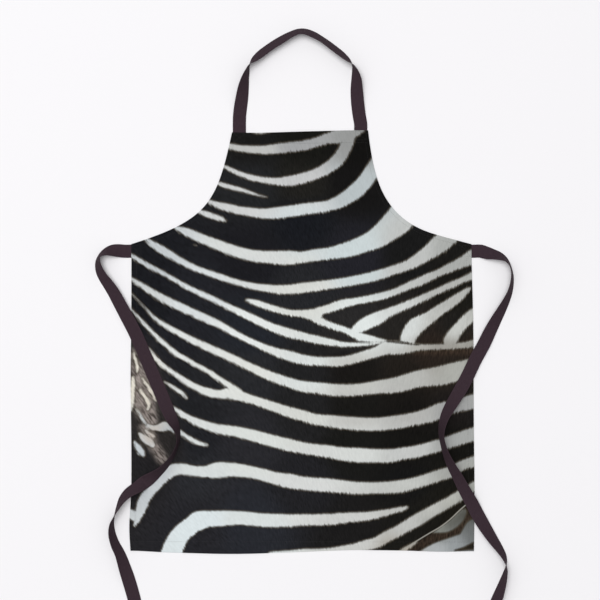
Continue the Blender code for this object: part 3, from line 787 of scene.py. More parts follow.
@dataclass(frozen=True)
class PrintedCloth:
    """Plain-woven cotton, printed on one face with hair that leans one way in each part."""

    name: str = "printed_cotton"
    slot: str = "printed_cloth"
    hair_angles: tuple[float, float, float] = (-52.0, -72.0, -98.0)
    hair_width: float = 1.3
    hair_length: float = 11.0
    weave_pitch: float = 0.55
    back: tuple[float, float, float] = (226, 224, 219)
    rim: tuple[float, float, float] = (74, 66, 54)
    brown: tuple[float, float, float] = (62, 50, 41)
    grey_dark: tuple[float, float, float] = (66, 59, 55)
    grey_light: tuple[float, float, float] = (168, 158, 152)
    crease: tuple[float, float, float] = (158, 156, 148)

    def hair(self, graph: Graph, x: Socket, y: Socket, width: float, length: float, angle: float) -> Socket:
        """Draw strands of a width and length in millimetres, lying at an angle."""
        turn = math.radians(angle)
        along = x * math.cos(turn) + y * math.sin(turn)
        over = y * math.cos(turn) - x * math.sin(turn)
        place = graph.vector(over * (1.0 / (width * MM)), along * (1.0 / (length * MM)), angle)
        return graph.noise(place, detail=2.0)

    def region_hair(self, graph: Graph, x: Socket, y: Socket, width: float, length: float) -> Socket:
        """Lean the strands one way at the left, another in the middle and a third at the right."""
        left, middle, right = (self.hair(graph, x, y, width, length, angle) for angle in self.hair_angles)
        to_middle, to_right = x.rise(-0.16, -0.02), x.rise(0.06, 0.20)
        blended = left + (middle - left) * to_middle
        return blended + (right - blended) * to_right

    def build(self) -> bpy.types.Material:
        """Make the material."""
        graph = Graph(self.name)
        x, y, _ = graph.object_axes()
        strands = self.region_hair(graph, x, y, self.hair_width, self.hair_length) - 0.5
        tufts = self.region_hair(graph, x, y, self.hair_width * 2.8, self.hair_length * 1.5) - 0.5
        fuzz = graph.attribute("lean").rise(-0.2, 0.9)
        calm = x.rise(0.20, 0.23) * (1.0 - y.rise(-0.435, -0.405))
        loose = 1.0 - 0.8 * calm
        wander = (strands * (5.0 + 3.0 * fuzz) + tufts * (2.0 + 4.0 * fuzz)) * loose
        ragged = graph.attribute("stripe") + wander
        ragged = ragged + 0.45 * (1.0 - y.rise(-0.13, -0.03))
        pale_share = ragged.rise(-1.6, 3.6)
        fringe = (1.0 - abs(ragged + 0.4) / 2.6).at_least(0.0)

        dark = graph.scale_colour(graph.tint("dark_tone"), 0.84 + strands * 1.3 + tufts * 0.6)
        brown = graph.scale_colour(linear(self.brown), 0.8 + strands * 2.0 + tufts * 1.4)
        dark = graph.mix(dark, brown, graph.attribute("brown_band") * (0.75 + tufts))
        streaks = (strands * 0.8 + tufts * 1.8 + 0.48).rise(0.0, 1.0)
        grey = graph.mix(linear(self.grey_dark), linear(self.grey_light), streaks)
        dark = graph.mix(dark, grey, graph.attribute("grey_ground"))
        pale = graph.scale_colour(graph.tint("pale_tone"), 0.98 + strands * 0.22 + tufts * 0.20)
        colour = graph.mix(dark, pale, pale_share)
        colour = graph.mix(colour, linear(self.rim), fringe * 0.55)
        line = 1.0 - abs(graph.attribute("crease") + strands * 0.4).rise(0.6, 1.6)
        colour = graph.mix(colour, linear(self.crease), line * 0.8)

        weave_x = (x * (math.tau / (self.weave_pitch * MM))).sine()
        weave_y = (y * (math.tau / (self.weave_pitch * MM))).sine()
        weave = weave_x * weave_y
        slubs = graph.noise(graph.vector(x * 900.0, y * 90.0), detail=1.0) + graph.noise(
            graph.vector(x * 90.0, y * 900.0, 7.0), detail=1.0)
        threads = weave * 0.5 + slubs * 0.6
        # Slightly darker in the weave's hollows and lighter on its crossings as painted shade of the weave;
        # the slubs add real yarn tone.
        colour = graph.scale_colour(colour, 0.985 + (threads - 0.6) * 0.07)

        showing = graph.attribute("printed").rise(0.2, 0.8)
        ghost = graph.mix(linear(self.back), graph.scale_colour(linear(self.back), 0.80 + weave * 0.02),
                          1.0 - pale_share)
        # The back likewise carries painted shade of the weave, with real slub tone.
        back = graph.scale_colour(ghost, 0.96 + (threads - 0.6) * 0.10)
        colour = graph.mix(back, colour, showing)
        rough = 0.80 + threads * 0.08
        normal = graph.bump(threads, 0.35, 0.00012)
        return graph.dress(Base_Color=colour, Roughness=rough, Normal=normal, Specular_IOR_Level=0.04)


@dataclass(frozen=True)
class TwillTape:
    """Dark woven tape with a fine slanting rib and plain selvedges."""

    name: str = "aubergine_twill"
    slot: str = "tape"
    colour: tuple[float, float, float] = (52, 39, 46)
    # The lighter tone: painted highlight on the rib tops, painted sheen along the selvedges, and random wear
    # and fibre tone.
    light: tuple[float, float, float] = (70, 57, 64)
    rib: float = 1.1
    selvedge: float = 0.90

    def build(self) -> bpy.types.Material:
        """Make the material."""
        graph = Graph(self.name)
        along, across = graph.attribute("along"), graph.attribute("across")
        width = across * (TAPE_WIDTH / 2)
        slant = (along + abs(width) * 1.4) * (math.tau / (self.rib * MM))
        ribs = slant.sine() * 0.5 + 0.5
        plain = (along * (math.tau / (0.9 * MM))).sine() * 0.5 + 0.5
        edge = abs(across).rise(self.selvedge - 0.03, self.selvedge + 0.02)
        cords = (width * (math.tau / (0.5 * MM))).sine() * 0.5 + 0.5
        height = ribs + (plain - ribs) * edge
        height = height * 0.8 + cords * 0.2
        wear = graph.noise(graph.vector(along * 160.0, width * 700.0), detail=3.0)
        fibre = graph.noise(graph.vector(along * 1500.0, width * 1500.0, 3.0), detail=1.0)
        # Lighter on the rib tops and along the selvedges as painted highlight and painted sheen, darker in
        # the rib grooves as painted shade; the wear and fibre noise is random tone.
        share = height * 0.34 + (wear - 0.5) * 0.9 + (fibre - 0.5) * 0.5 + edge * 0.18
        colour = graph.mix(linear(self.colour), linear(self.light), share)
        normal = graph.bump(height + fibre * 0.3, 0.5, 0.00025)
        rough = 0.72 + height * 0.12
        return graph.dress(Base_Color=colour, Roughness=rough, Normal=normal, Specular_IOR_Level=0.10)


@dataclass(frozen=True)
class Thread:
    """Two-ply sewing thread."""

    name: str
    slot: str
    colour: tuple[float, float, float]

    def build(self) -> bpy.types.Material:
        """Make the material."""
        graph = Graph(self.name)
        x, y, z = graph.object_axes()
        ply = ((x + y + z * 2.0) * (math.tau / 0.0006)).sine() * 0.5 + 0.5
        lint = graph.noise(graph.vector(x, y, z), scale=900.0, detail=2.0)
        # Lighter on the ridges of the plies and darker between them: painted shade of the twist; the lint
        # noise is random tone.
        tone = 0.72 + ply * 0.34 + (lint - 0.5) * 0.5
        colour = graph.scale_colour(linear(self.colour), tone)
        normal = graph.bump(ply, 0.5, 0.0001)
        rough = 0.55 + ply * 0.12
        return graph.dress(Base_Color=colour, Roughness=rough, Normal=normal, Specular_IOR_Level=0.35)


@dataclass(frozen=True)
class PaleFloor:
    """A plain matt floor, near white."""

    name: str = "pale_floor"
    albedo: float = 0.905

    def build(self) -> bpy.types.Material:
        """Make the material."""
        graph = Graph(self.name)
        tint = (self.albedo, self.albedo * 0.990, self.albedo * 1.010)
        return graph.dress(Base_Color=tint, Roughness=1.0, Specular_IOR_Level=0.0)


@dataclass
class Finishes:
    """The apron's materials, each made once."""

    cloth: bpy.types.Material = field(default_factory=lambda: PrintedCloth().build())
    tape: bpy.types.Material = field(default_factory=lambda: TwillTape().build())
    thread: bpy.types.Material = field(
        default_factory=lambda: Thread("smoke_thread", "cloth_thread", (46, 45, 47)).build())
    tape_thread: bpy.types.Material = field(
        default_factory=lambda: Thread("aubergine_thread", "tape_thread", (70, 56, 64)).build())


# ---------------------------------------------------------------------------------------------------
# Sub-assemblies
# ---------------------------------------------------------------------------------------------------


# How the laid cloth has settled out of its cut: round (x, y) it has shifted by (dx, dy), over a reach.
# All are in the print's millimetres.
SHIFTS: tuple[tuple[float, ...], ...] = (
    (329, 590, -4.2, 0.0, 115), (225, 618, -2.6, -2.6, 55), (325, 110, 1.8, 0.0, 110),
    (-325, 330, -1.5, 0.0, 90),
    (-325, 45, -4.0, 0.0, 50), (-325, 0, 0.0, 2.6, 45), (-135, 0, 0.0, -3.6, 100), (105, 0, 0.0, 3.8, 90),
    (200, 0, 0.0, 1.4, 50), (325, 0, 0.0, 1.6, 45), (-95, 800, 0.0, -3.4, 90), (105, 800, 0.0, 1.2, 55),
)


def settle(places: Array, bottom: float) -> Array:
    """Shift places of the cloth a little in plan, as the cloth has settled.

    Each shift counts in full at its own centre and by exp(-(d / reach)^2) at the distance d from it.

    Args:
        places: Points whose first two columns are the plan, in metres.
        bottom: The level of the cloth's bottom edge.

    Returns:
        The points with the plan shifted.
    """
    table = np.array(SHIFTS) * MM
    centres = table[:, :2] + (0.0, bottom)
    distance = np.linalg.norm(places[:, None, :2] - centres[None], axis=2)
    weight = np.exp(-((distance / table[:, 4]) ** 2))
    settled = places.copy()
    settled[:, :2] += weight @ table[:, 2:4]
    return settled


@dataclass
class Cut:
    """The apron's outline in plan: a straight skirt, curved armholes and a straight bib top."""

    edge: float
    bottom: float
    top: float
    bib_width: float = 0.2585
    bib_shift: float = -0.0047
    side_length: float = 0.585

    @classmethod
    def from_frame(cls) -> "Cut":
        """Read the outline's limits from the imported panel."""
        low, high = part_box("front_panel")
        return cls(edge=high.x, bottom=low.y, top=high.y)

    @property
    def waist(self) -> float:
        """The level where the armholes meet the sides."""
        return self.bottom + self.side_length

    def bib_corner(self, side: int) -> Array:
        """Give the bib's top corner on a side."""
        return np.array((self.bib_shift + side * self.bib_width / 2, self.top))

    def armhole(self, side: int, steps: Array, inset: Array | float = 0.0) -> tuple[Array, Array]:
        """Follow an armhole from the bib to the side, one cubic Bezier curve moved in along its normal.

        Args:
            side: -1 for left and +1 for right.
            steps: Shares of the curve, from the bib at 0 to the side at 1.
            inset: The distance moved into the cloth.

        Returns:
            The points, and the unit normals into the cloth.
        """
        start, end = self.bib_corner(side), np.array((side * self.edge, self.waist))
        box = np.array((end[0] - start[0], start[1] - end[1]))
        bib_pull, side_pull = np.array(ARMHOLE_PULLS[side]) * box
        knots = (start, start + bib_pull, end + side_pull, end)
        t = np.asarray(steps, dtype=float)[:, None]
        line = (1 - t) ** 3 * knots[0] + 3 * (1 - t) ** 2 * t * knots[1]
        line = line + 3 * (1 - t) * t**2 * knots[2] + t**3 * knots[3]
        slope = (1 - t) ** 2 * (knots[1] - knots[0]) + 2 * (1 - t) * t * (knots[2] - knots[1])
        slope = slope + t**2 * (knots[3] - knots[2])
        slope = slope / np.linalg.norm(slope, axis=1, keepdims=True)
        inward = np.stack((slope[:, 1], -slope[:, 0]), axis=1) * side
        return line + np.asarray(inset).reshape(-1, 1) * inward, inward

    def strap_span(self, side: int) -> tuple[float, float]:
        """Give a neck strap leg's edges as x in rising order."""
        outer = self.bib_corner(side)[0] - side * STRAP_INSET
        return min(outer, outer - side * TAPE_WIDTH), max(outer, outer - side * TAPE_WIDTH)

    def band(self, side: int, near: float, far: float, top_limit: float,
             side_limit: float) -> tuple[float, float]:
        """Find the stretch of an armhole on which a band along it stays within two limits.

        Args:
            side: -1 for left and +1 for right.
            near: The inset of the band's edge towards the outline.
            far: The inset of its other edge.
            top_limit: The highest y that it may reach.
            side_limit: The furthest that it may reach from the middle line.

        Returns:
            The armhole's shares at the stretch's two ends.
        """
        fine = np.linspace(0.0, 1.0, 801)
        near_line, far_line = self.armhole(side, fine, near)[0], self.armhole(side, fine, far)[0]
        below = np.maximum(near_line[:, 1], far_line[:, 1]) <= top_limit
        within = np.maximum(side * near_line[:, 0], side * far_line[:, 0]) <= side_limit
        kept = fine[below & within]
        return kept[0], kept[-1]


@dataclass
class Panel:
    """The printed front panel: one sheet of cloth whose edges roll over into the hems behind it."""

    cut: Cut
    design: ZebraPrint
    columns: int = 222
    skirt_rows: int = 208
    armhole_rows: int = 94
    roll: float = 0.0009
    ripple: float = 0.0007

    def rows(self) -> Array:
        """Give the rows' shares: 0 to 1 over the skirt and 1 to 2 over the bib."""
        skirt = np.linspace(0.0, 1.0, self.skirt_rows + 1)
        bib = np.linspace(1.0, 2.0, self.armhole_rows + 1)[1:]
        return np.concatenate((skirt, bib))

    def place(self, u: Array, v: Array, inset: float) -> Array:
        """Rule straight rows between the two sides, whose outline is drawn in by the inset.

        Below the waist the sides are straight. Above it they are the armholes at the same share, moved
        in along x by the inset over the normal's x. The rows run from the bottom to the top.
        """
        corners = []
        for side in (-1, +1):
            skirt_y = self.cut.bottom + inset + np.clip(v, 0, 1) * (self.cut.side_length - inset)
            skirt = np.stack((np.full(len(v), side * (self.cut.edge - inset)), skirt_y), axis=1)
            share = np.clip(2.0 - v, 0.0, 1.0)
            edge, inward = self.cut.armhole(side, share)
            shift = inset / np.maximum(np.abs(inward[:, 0]), 0.25)
            bib = edge + np.stack((-side * shift, np.zeros(len(v))), axis=1)
            bib[:, 1] -= inset * np.clip(v - 1.0, 0.0, 1.0)
            corners.append(np.where((v <= 1.0)[:, None], skirt, bib))
        left, right = corners
        return left + u[:, None] * (right - left)

    def waves(self, u: Array, v: Array) -> Array:
        """Lift the cloth in low, broad waves that die out towards every edge.

        The height is ripple times a border weight times 1.2 plus three products of sines in u and v.
        """
        border = smoothstep(0.04, 0.22, np.minimum(u, 1 - u)) * smoothstep(0.05, 0.3, v)
        border = border * smoothstep(0.05, 0.45, 2.0 - v)
        wave = np.sin(6.1 * u + 2.3 * v + 0.4) * np.cos(4.7 * v - 2.9 * u)
        wave = wave + 0.6 * np.sin(13.0 * u - 5.1 * v + 1.7) * np.sin(3.9 * v + 0.8)
        wave = wave + 0.35 * np.sin(9.0 * v + 4.0 * u)
        return self.ripple * border * (wave + 1.2)

    def lip(self, plan: Array) -> Array:
        """Give the height to which the rolled edge comes down, short of the tapes that pass under it."""
        low = np.full(len(plan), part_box("front_panel")[0].z)
        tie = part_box("left_tie_sewn_end")
        at_side = np.abs(plan[:, 0]) > self.cut.edge - 0.004
        at_tie = smoothstep(tie[0].y - 0.0025, tie[0].y - 0.0005, plan[:, 1]) * at_side
        at_tie = at_tie * (1.0 - smoothstep(tie[1].y + 0.0005, tie[1].y + 0.004, plan[:, 1]))
        at_neck = np.zeros(len(plan))
        for side in (-1, 1):
            start, end = self.cut.strap_span(side)
            middle, half = (start + end) / 2, (end - start) / 2
            away = np.abs(plan[:, 0] - middle)
            at_neck = np.maximum(at_neck, 1.0 - smoothstep(half + 0.0005, half + 0.0025, away))
        at_neck = at_neck * (plan[:, 1] > self.cut.top - 0.022)
        return low * np.clip(np.maximum(at_tie, at_neck), 0.0, 1.0) + 0.00005

    def build(self, finishes: Finishes) -> bpy.types.Object:
        """Make the panel."""
        low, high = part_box("front_panel")
        roll = self.roll
        rim = [
            (roll, high.z), (roll * 0.45, high.z - roll * 0.10), (roll * 0.12, high.z - roll * 0.38),
            (0.0, lambda plan: (self.lip(plan) + high.z) / 2),
            (roll * 0.12, lambda plan: self.lip(plan) * 0.86 + high.z * 0.14 + 0.0001),
            (roll * 0.45, lambda plan: self.lip(plan) + 0.00005), (roll, self.lip), (roll * 1.05, low.z),
        ]
        shell = Shell(self.place, np.linspace(0.0, 1.0, self.columns + 1), self.rows(), rim, 2, self.waves)
        points, faces, face_up = shell.build()
        points = settle(points, self.cut.bottom)
        attributes = self.design.attributes(points, face_up)
        piece = new_piece("zebra_panel", points, faces, finishes.cloth, attributes)
        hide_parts("front_panel")
        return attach(piece, "apron")

    def flat_area(self) -> float:
        """Add up the cut's flat area from its rows."""
        v = np.linspace(0.0, 2.0, 2001)
        left, right = self.place(np.zeros(len(v)), v, 0.0), self.place(np.ones(len(v)), v, 0.0)
        outline = np.concatenate((left, right[::-1]))
        ahead = np.roll(outline, -1, axis=0)
        return abs(float((outline[:, 0] * ahead[:, 1] - ahead[:, 0] * outline[:, 1]).sum())) / 2


@dataclass
class Hems:
    """The six turned hems behind the cloth: folded strips that show the print on their backs."""

    cut: Cut
    design: ZebraPrint
    tuck: float = 0.0006
    soft: float = 0.00045
    step: float = 0.004
    top_hem: float = 0.025
    armhole_hem: float = ARMHOLE_HEM
    armhole_length: float = 0.30

    def strip(self, name: str, place: Callable, size: tuple[float, float],
              finishes: Finishes) -> bpy.types.Object:
        """Make one folded strip.

        Args:
            name: The CAD hem that it stands for.
            place: Its plan, for Shell.
            size: Its length along u and along v, which set how finely it is divided.
            finishes: The materials.

        Returns:
            The strip.
        """
        low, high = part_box(name)
        rim = rounded_rim(low.z + 0.00012, high.z + 0.00022, self.soft)
        shell = Shell(place, shares(size[0], self.step), shares(size[1], self.step / 2), rim)
        points, faces, _ = shell.build()
        points = settle(points, self.cut.bottom)
        attributes = self.design.attributes(points, np.ones(len(points)))
        piece = new_piece(f"folded_{name}", points, faces, finishes.cloth, attributes)
        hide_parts(name)
        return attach(piece, "apron")

    def straight(self, name: str, finishes: Finishes,
                 tucks: tuple[float, float, float, float]) -> bpy.types.Object:
        """Make a straight hem.

        Args:
            name: The CAD hem that it stands for.
            finishes: The materials.
            tucks: How far it is drawn in from its CAD box at the left, right, low and high sides.

        Returns:
            The hem.
        """
        low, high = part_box(name)
        edges = (low.x + tucks[0], high.x - tucks[1], low.y + tucks[2], high.y - tucks[3])
        place = rectangle_place(*edges)
        return self.strip(name, place, (edges[1] - edges[0], edges[3] - edges[2]), finishes)

    def top_place(self, u: Array, v: Array, inset: float) -> Array:
        """Lay out the top hem: full width below, and stepped down under the two strap ends."""
        left, right = self.cut.bib_corner(-1)[0] + self.tuck, self.cut.bib_corner(1)[0] - self.tuck
        inner_left, inner_right = self.cut.strap_span(-1)[1] + GAP, self.cut.strap_span(1)[0] - GAP
        x = left + inset + u * (right - left - 2 * inset)
        low = self.cut.top - self.top_hem + inset
        step = smoothstep(inner_left + inset - 0.0002, inner_left + inset + 0.0010, x)
        step = step * (1.0 - smoothstep(inner_right - inset - 0.0010, inner_right - inset + 0.0002, x))
        high = self.cut.top - self.tuck - inset - (1.0 - step) * (SEWN_LENGTH + GAP - self.tuck)
        return np.stack((x, low + v * (high - low)), axis=1)

    def armhole_place(self, side: Side) -> Callable:
        """Lay out an armhole hem: along the curve with u, and from the edge inwards with v."""
        top_limit, side_limit = self.cut.top - self.top_hem - GAP, self.cut.edge - SEWN_LENGTH - GAP
        start, end = self.cut.band(side.value, 0.0, self.armhole_hem, top_limit, side_limit)

        def place(u: Array, v: Array, inset: float) -> Array:
            """Give plan points at (u, v)."""
            ease = inset / self.armhole_length
            share = start + ease + u * (end - start - 2 * ease)
            depth = self.tuck + inset + v * (self.armhole_hem - self.tuck - 2 * inset)
            return self.cut.armhole(side.value, share, depth)[0]

        return place

    def build(self, finishes: Finishes) -> list[bpy.types.Object]:
        """Make all six."""
        tuck = self.tuck
        pieces = [self.strip("top_hem", self.top_place, (self.cut.bib_width * 4, self.top_hem), finishes)]
        pieces.append(self.straight("bottom_hem", finishes, (tuck, tuck, tuck, 0.0)))
        for side in Side:
            outer = (tuck, 0.0) if side is Side.LEFT else (0.0, tuck)
            pieces.append(self.straight(f"{side.word}_side_hem", finishes, (*outer, 0.0, 0.0)))
            pieces.append(self.strip(f"{side.word}_armhole_hem", self.armhole_place(side),
                                     (self.armhole_length, self.armhole_hem), finishes))
        return pieces


@dataclass
class Stitching:
    """Rows of stitches: every stitch is its own arched length of thread, above and below the cloth."""

    cut: Cut
    pitch: float = 0.0032
    share: float = 0.84
    thread: float = 0.00026
    lift: float = 0.00001
    back_level: float = 0.00010
    inset: float = 0.0020
    in_hem: float = 0.0002
    row_end: float = 0.0008

    def row(self, line: Array, height: float, flip: bool = False, pitch: float | None = None,
            on_cloth: bool = True) -> tuple[Array, list]:
        """Lay stitches end to end along a line of plan points.

        Each stitch is the one shape turned to the line's heading, by the matrix (heading, left, up).

        Args:
            line: The row's points.
            height: The level of the thread's middle.
            flip: Whether the stitches arch downwards.
            pitch: The length from stitch to stitch, if not the usual one.
            on_cloth: Whether the line has settled with the cloth.

        Returns:
            The points and the faces.
        """
        pitch = pitch or self.pitch
        places, heading = even_steps(settle(line, self.cut.bottom) if on_cloth else line, pitch)
        shape, faces = stitch_shape(pitch * self.share, self.thread)
        left = np.stack((-heading[:, 1], heading[:, 0]), axis=1)
        plan = places[:, None] + shape[None, :, :1] * heading[:, None] + shape[None, :, 1:2] * left[:, None]
        z = height + np.repeat(shape[None, :, 2] * (-1 if flip else 1), len(places), axis=0)
        points = np.concatenate((plan, z[..., None]), axis=2).reshape(-1, 3)
        shift = np.arange(len(places)) * len(shape)
        listed = [[[index + start for index in face] for face in faces] for start in shift.tolist()]
        flat = [face[::-1] if flip else face for group in listed for face in group]
        return points, flat

    def gather(self, rows: Sequence[tuple[Array, list]]) -> tuple[Array, list]:
        """Join rows of stitches into one piece."""
        points, faces, start = [], [], 0
        for row_points, row_faces in rows:
            points.append(row_points)
            faces += [[index + start for index in face] for face in row_faces]
            start += len(row_points)
        return np.concatenate(points), faces

    def seam(self, name: str, lines: Sequence[Array], finishes: Finishes,
             pitch: float | None = None) -> bpy.types.Object:
        """Sew along the lines, on the face and on the back.

        Args:
            name: The CAD seam that the stitches stand for.
            lines: The rows' points in plan.
            finishes: The materials.
            pitch: The length from stitch to stitch, if not the usual one.

        Returns:
            The stitches, as one piece.
        """
        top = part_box("front_panel")[1].z + self.lift
        rows = [self.row(line, top, pitch=pitch) for line in lines]
        rows += [self.row(line, self.back_level, True, pitch) for line in lines]
        points, faces = self.gather(rows)
        piece = new_piece(f"sewn_{name}", points, faces, finishes.thread)
        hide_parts(name)
        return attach(piece, "apron")

    def build(self, finishes: Finishes) -> list[bpy.types.Object]:
        """Sew every hem and box in every tape end."""
        pieces = []
        for name in ("top_hem_stitching", "bottom_hem_stitching"):
            low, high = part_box(name)
            level = (low.y + high.y) / 2
            line = np.array(((low.x + self.row_end, level), (high.x - self.row_end, level)))
            pieces.append(self.seam(name, [line], finishes))
        seam_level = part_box("top_hem_stitching")[0].y
        for side in Side:
            low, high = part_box(f"{side.word}_side_stitching")
            x = (low.x + high.x) / 2
            line = np.array(((x, low.y), (x, high.y)))
            pieces.append(self.seam(f"{side.word}_side_stitching", [line], finishes))
            inset = ARMHOLE_HEM - self.inset - self.in_hem
            side_limit = self.cut.edge - SEWN_LENGTH - GAP
            start, end = self.cut.band(side.value, inset, inset, seam_level - GAP, side_limit)
            line = self.cut.armhole(side.value, np.linspace(start, end, 300), inset)[0]
            pieces.append(self.seam(f"{side.word}_armhole_stitching", [line], finishes))
            for name in (f"neck_strap_{side.word}_tack", f"{side.word}_tie_tack"):
                low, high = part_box(name)
                corner = np.array(((low.x, low.y), (high.x, low.y), (high.x, high.y), (low.x, high.y)))
                lines = [np.stack((corner[k], corner[(k + 1) % 4])) for k in range(4)]
                lines += [np.stack((corner[0], corner[2])), np.stack((corner[1], corner[3]))]
                pieces.append(self.seam(name, lines, finishes, SHORT_PITCH))
        return pieces


@dataclass
class TapeRun:
    """A free run of tape: the line of its middle, its turn about that line, and the vectors across it."""

    route: Knots
    step: float = 0.0025

    def lay(self) -> tuple[Array, Array, Array]:
        """Work out the tape's middle line and frame.

        The middle lies half the tape's upright reach above what it rests on: w/2 |sin a| + t/2 |cos a|
        for the turn a. The vector across is n cos a + z sin a, with n to the left of the heading.

        Returns:
            The centres, the unit vectors across and the unit vectors out of the face.
        """
        curve = smooth_curve(self.route, self.step)
        turn = np.radians(curve[:, 3])
        base = np.clip(curve[:, 2], 0.0, 1.0) * self.over_cloth()
        height = base + TAPE_WIDTH / 2 * np.abs(np.sin(turn)) + TAPE_THICKNESS / 2 * np.abs(np.cos(turn))
        centres = np.column_stack((curve[:, :2], height))
        heading = np.gradient(curve[:, :2], axis=0)
        heading = heading / np.linalg.norm(heading, axis=1, keepdims=True)
        heading = np.column_stack((heading, np.zeros(len(heading))))
        left = np.column_stack((-heading[:, 1], heading[:, 0], np.zeros(len(heading))))
        upright = np.array((0.0, 0.0, 1.0))
        across = left * np.cos(turn)[:, None] + upright * np.sin(turn)[:, None]
        return centres, across, np.cross(heading, across)

    def over_cloth(self) -> float:
        """Give the level just over the stitching on the cloth."""
        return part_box("top_hem_stitching")[1].z + GAP


@dataclass
class NeckLoop:
    """The fixed neck strap: one tape from under the bib's left corner, round, and under its right one."""

    cut: Cut
    bend: float = 0.020
    # Share of the way from leg to leg, share of the loop's rise, and the turn in degrees.
    points: Knots = (
        (0.000, 0.000, 0), (0.000, 0.068, 0), (0.001, 0.130, 1), (0.006, 0.194, 4), (0.022, 0.322, 21),
        (0.040, 0.451, 44), (0.052, 0.515, 59), (0.068, 0.578, 74), (0.086, 0.640, 93),
        (0.120, 0.688, 119), (0.161, 0.732, 130), (0.247, 0.810, 132), (0.340, 0.880, 132),
        (0.435, 0.942, 125), (0.488, 0.966, 122), (0.541, 0.965, 124), (0.591, 0.945, 126),
        (0.687, 0.882, 123), (0.774, 0.806, 125), (0.859, 0.726, 121), (0.898, 0.684, 112),
        (0.931, 0.637, 90), (0.950, 0.578, 66), (0.961, 0.516, 46), (0.967, 0.387, 22), (0.976, 0.257, 8),
        (0.983, 0.190, 4), (0.990, 0.135, 1), (1.000, 0.068, 0), (1.000, 0.000, 0),
    )
    rise: float = 0.194

    def route(self) -> Knots:
        """Give the route in metres, with a sewn length under the cloth at both ends."""
        left, right = sum(self.cut.strap_span(-1)) / 2, sum(self.cut.strap_span(1)) / 2
        base = self.cut.top + GAP
        across, up = right - left, self.rise - GAP
        middle = [(left + a * across, base + b * up, 0.0, turn) for a, b, turn in self.points]
        sewn = (self.cut.top - SEWN_LENGTH, self.cut.top - SEWN_LENGTH / 2)
        start = [(left, level, 0.0, 0.0) for level in sewn]
        return start + middle + [(right, level, 0.0, 0.0) for level in sewn[::-1]]

    def build(self, finishes: Finishes) -> bpy.types.Object:
        """Make the strap and bend it between the apron and the loop."""
        points, faces, attributes = ribbon(*TapeRun(self.route()).lay())
        piece = new_piece("neck_tape", points, faces, finishes.tape, attributes)
        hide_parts("neck_strap", "neck_strap_left_sewn_end", "neck_strap_right_sewn_end")
        start = (self.cut.bib_shift, self.cut.top, 0.0)
        end = (self.cut.bib_shift, self.cut.top + self.bend, 0.0)
        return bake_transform(piece, "apron", "neck_loop", start=start, end=end)


@dataclass
class WaistTie:
    """A free waist tie: flat tape sewn under the side, with its end turned back and stitched."""

    cut: Cut
    side: Side
    # Distance out from the side, distance up from the tape's middle where it leaves, lift, and turn.
    points: Knots
    length: float = 0.938
    end_hem: float = 0.010
    fold_gap: float = 0.00015
    under_level: float = 0.00005

    def route(self) -> Knots:
        """Give the route in metres, with a sewn length under the cloth at its start."""
        sign = self.side.value
        sewn_low, sewn_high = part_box(f"{self.side.word}_tie_sewn_end")
        level = (sewn_low.y + sewn_high.y) / 2
        start = self.cut.edge + GAP
        sewn = [(sign * (self.cut.edge - inset), level, 0.0, 0.0) for inset in (SEWN_LENGTH, SEWN_LENGTH / 2)]
        return sewn + [(sign * (start + out), level + up, lift, turn) for out, up, lift, turn in self.points]

    def fold(self, centres: Array) -> tuple[Array, Array, Array]:
        """Turn the tape's end back over itself.

        From just short of the end the line runs on level, round a half circle, and back for the hem.

        Args:
            centres: The tie's middle line.

        Returns:
            The fold's centres, vectors across and vectors out of its face.
        """
        end, heading = centres[-1], centres[-1] - centres[-4]
        heading = heading / np.linalg.norm(heading)
        radius = (TAPE_THICKNESS + self.fold_gap) / 2
        angle = np.linspace(0.0, math.pi, 9)
        forward = np.concatenate((np.sin(angle) * radius, np.linspace(-0.001, -self.end_hem, 5)))
        rise = np.concatenate((radius * (1 - np.cos(angle)), np.full(5, 2 * radius)))
        slope = np.concatenate((angle, np.full(5, math.pi)))
        upright = np.array((0.0, 0.0, 1.0))
        places = end + forward[:, None] * heading + rise[:, None] * upright
        left = np.array((-heading[1], heading[0], 0.0))
        across = np.repeat(left[None], len(places), axis=0)
        up = np.cos(slope)[:, None] * upright - np.sin(slope)[:, None] * heading
        return places, across, up

    def build(self, finishes: Finishes, stitching: Stitching) -> list[bpy.types.Object]:
        word, sign, body = self.side.word, self.side.value, f"{self.side.word}_tie"
        centres, across, up = TapeRun(self.route()).lay()
        points, faces, attributes = ribbon(centres, across, up)
        tie = new_piece(f"{word}_waist_tape", points, faces, finishes.tape, attributes)
        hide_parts(f"{word}_waist_tie", f"{word}_tie_sewn_end")
        corner = Vector((sign * (self.cut.edge + GAP), self.cut.waist - 0.001, TAPE_THICKNESS / 2))
        lean = Vector((sign * 0.9, -0.436, 0.0))
        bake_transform(tie, "apron", body, start=corner + lean * 0.011, end=corner + lean * 0.052)

        points, faces, attributes = ribbon(*self.fold(centres))
        fold = new_piece(f"{word}_turned_end", points, faces, finishes.tape, attributes)
        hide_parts(f"{word}_tie_end_hem")
        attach(fold, body)

        heading = centres[-1] - centres[-4]
        heading = heading[:2] / np.linalg.norm(heading[:2])
        left = np.array((-heading[1], heading[0]))
        middle = centres[-1, :2] - heading * (self.end_hem - 0.002)
        half = TAPE_WIDTH / 2 - 0.0015
        line = np.stack((middle - left * half, middle + left * half))
        height = 2 * TAPE_THICKNESS + self.fold_gap + stitching.lift
        points, faces = stitching.gather([
            stitching.row(line, height, False, SHORT_PITCH, False),
            stitching.row(line, self.under_level, True, SHORT_PITCH, False),
        ])
        stitches = new_piece(f"{word}_turned_end_stitches", points, faces, finishes.tape_thread)
        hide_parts(f"{word}_tie_end_stitching")
        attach(stitches, body)

        return [tie, fold, stitches]


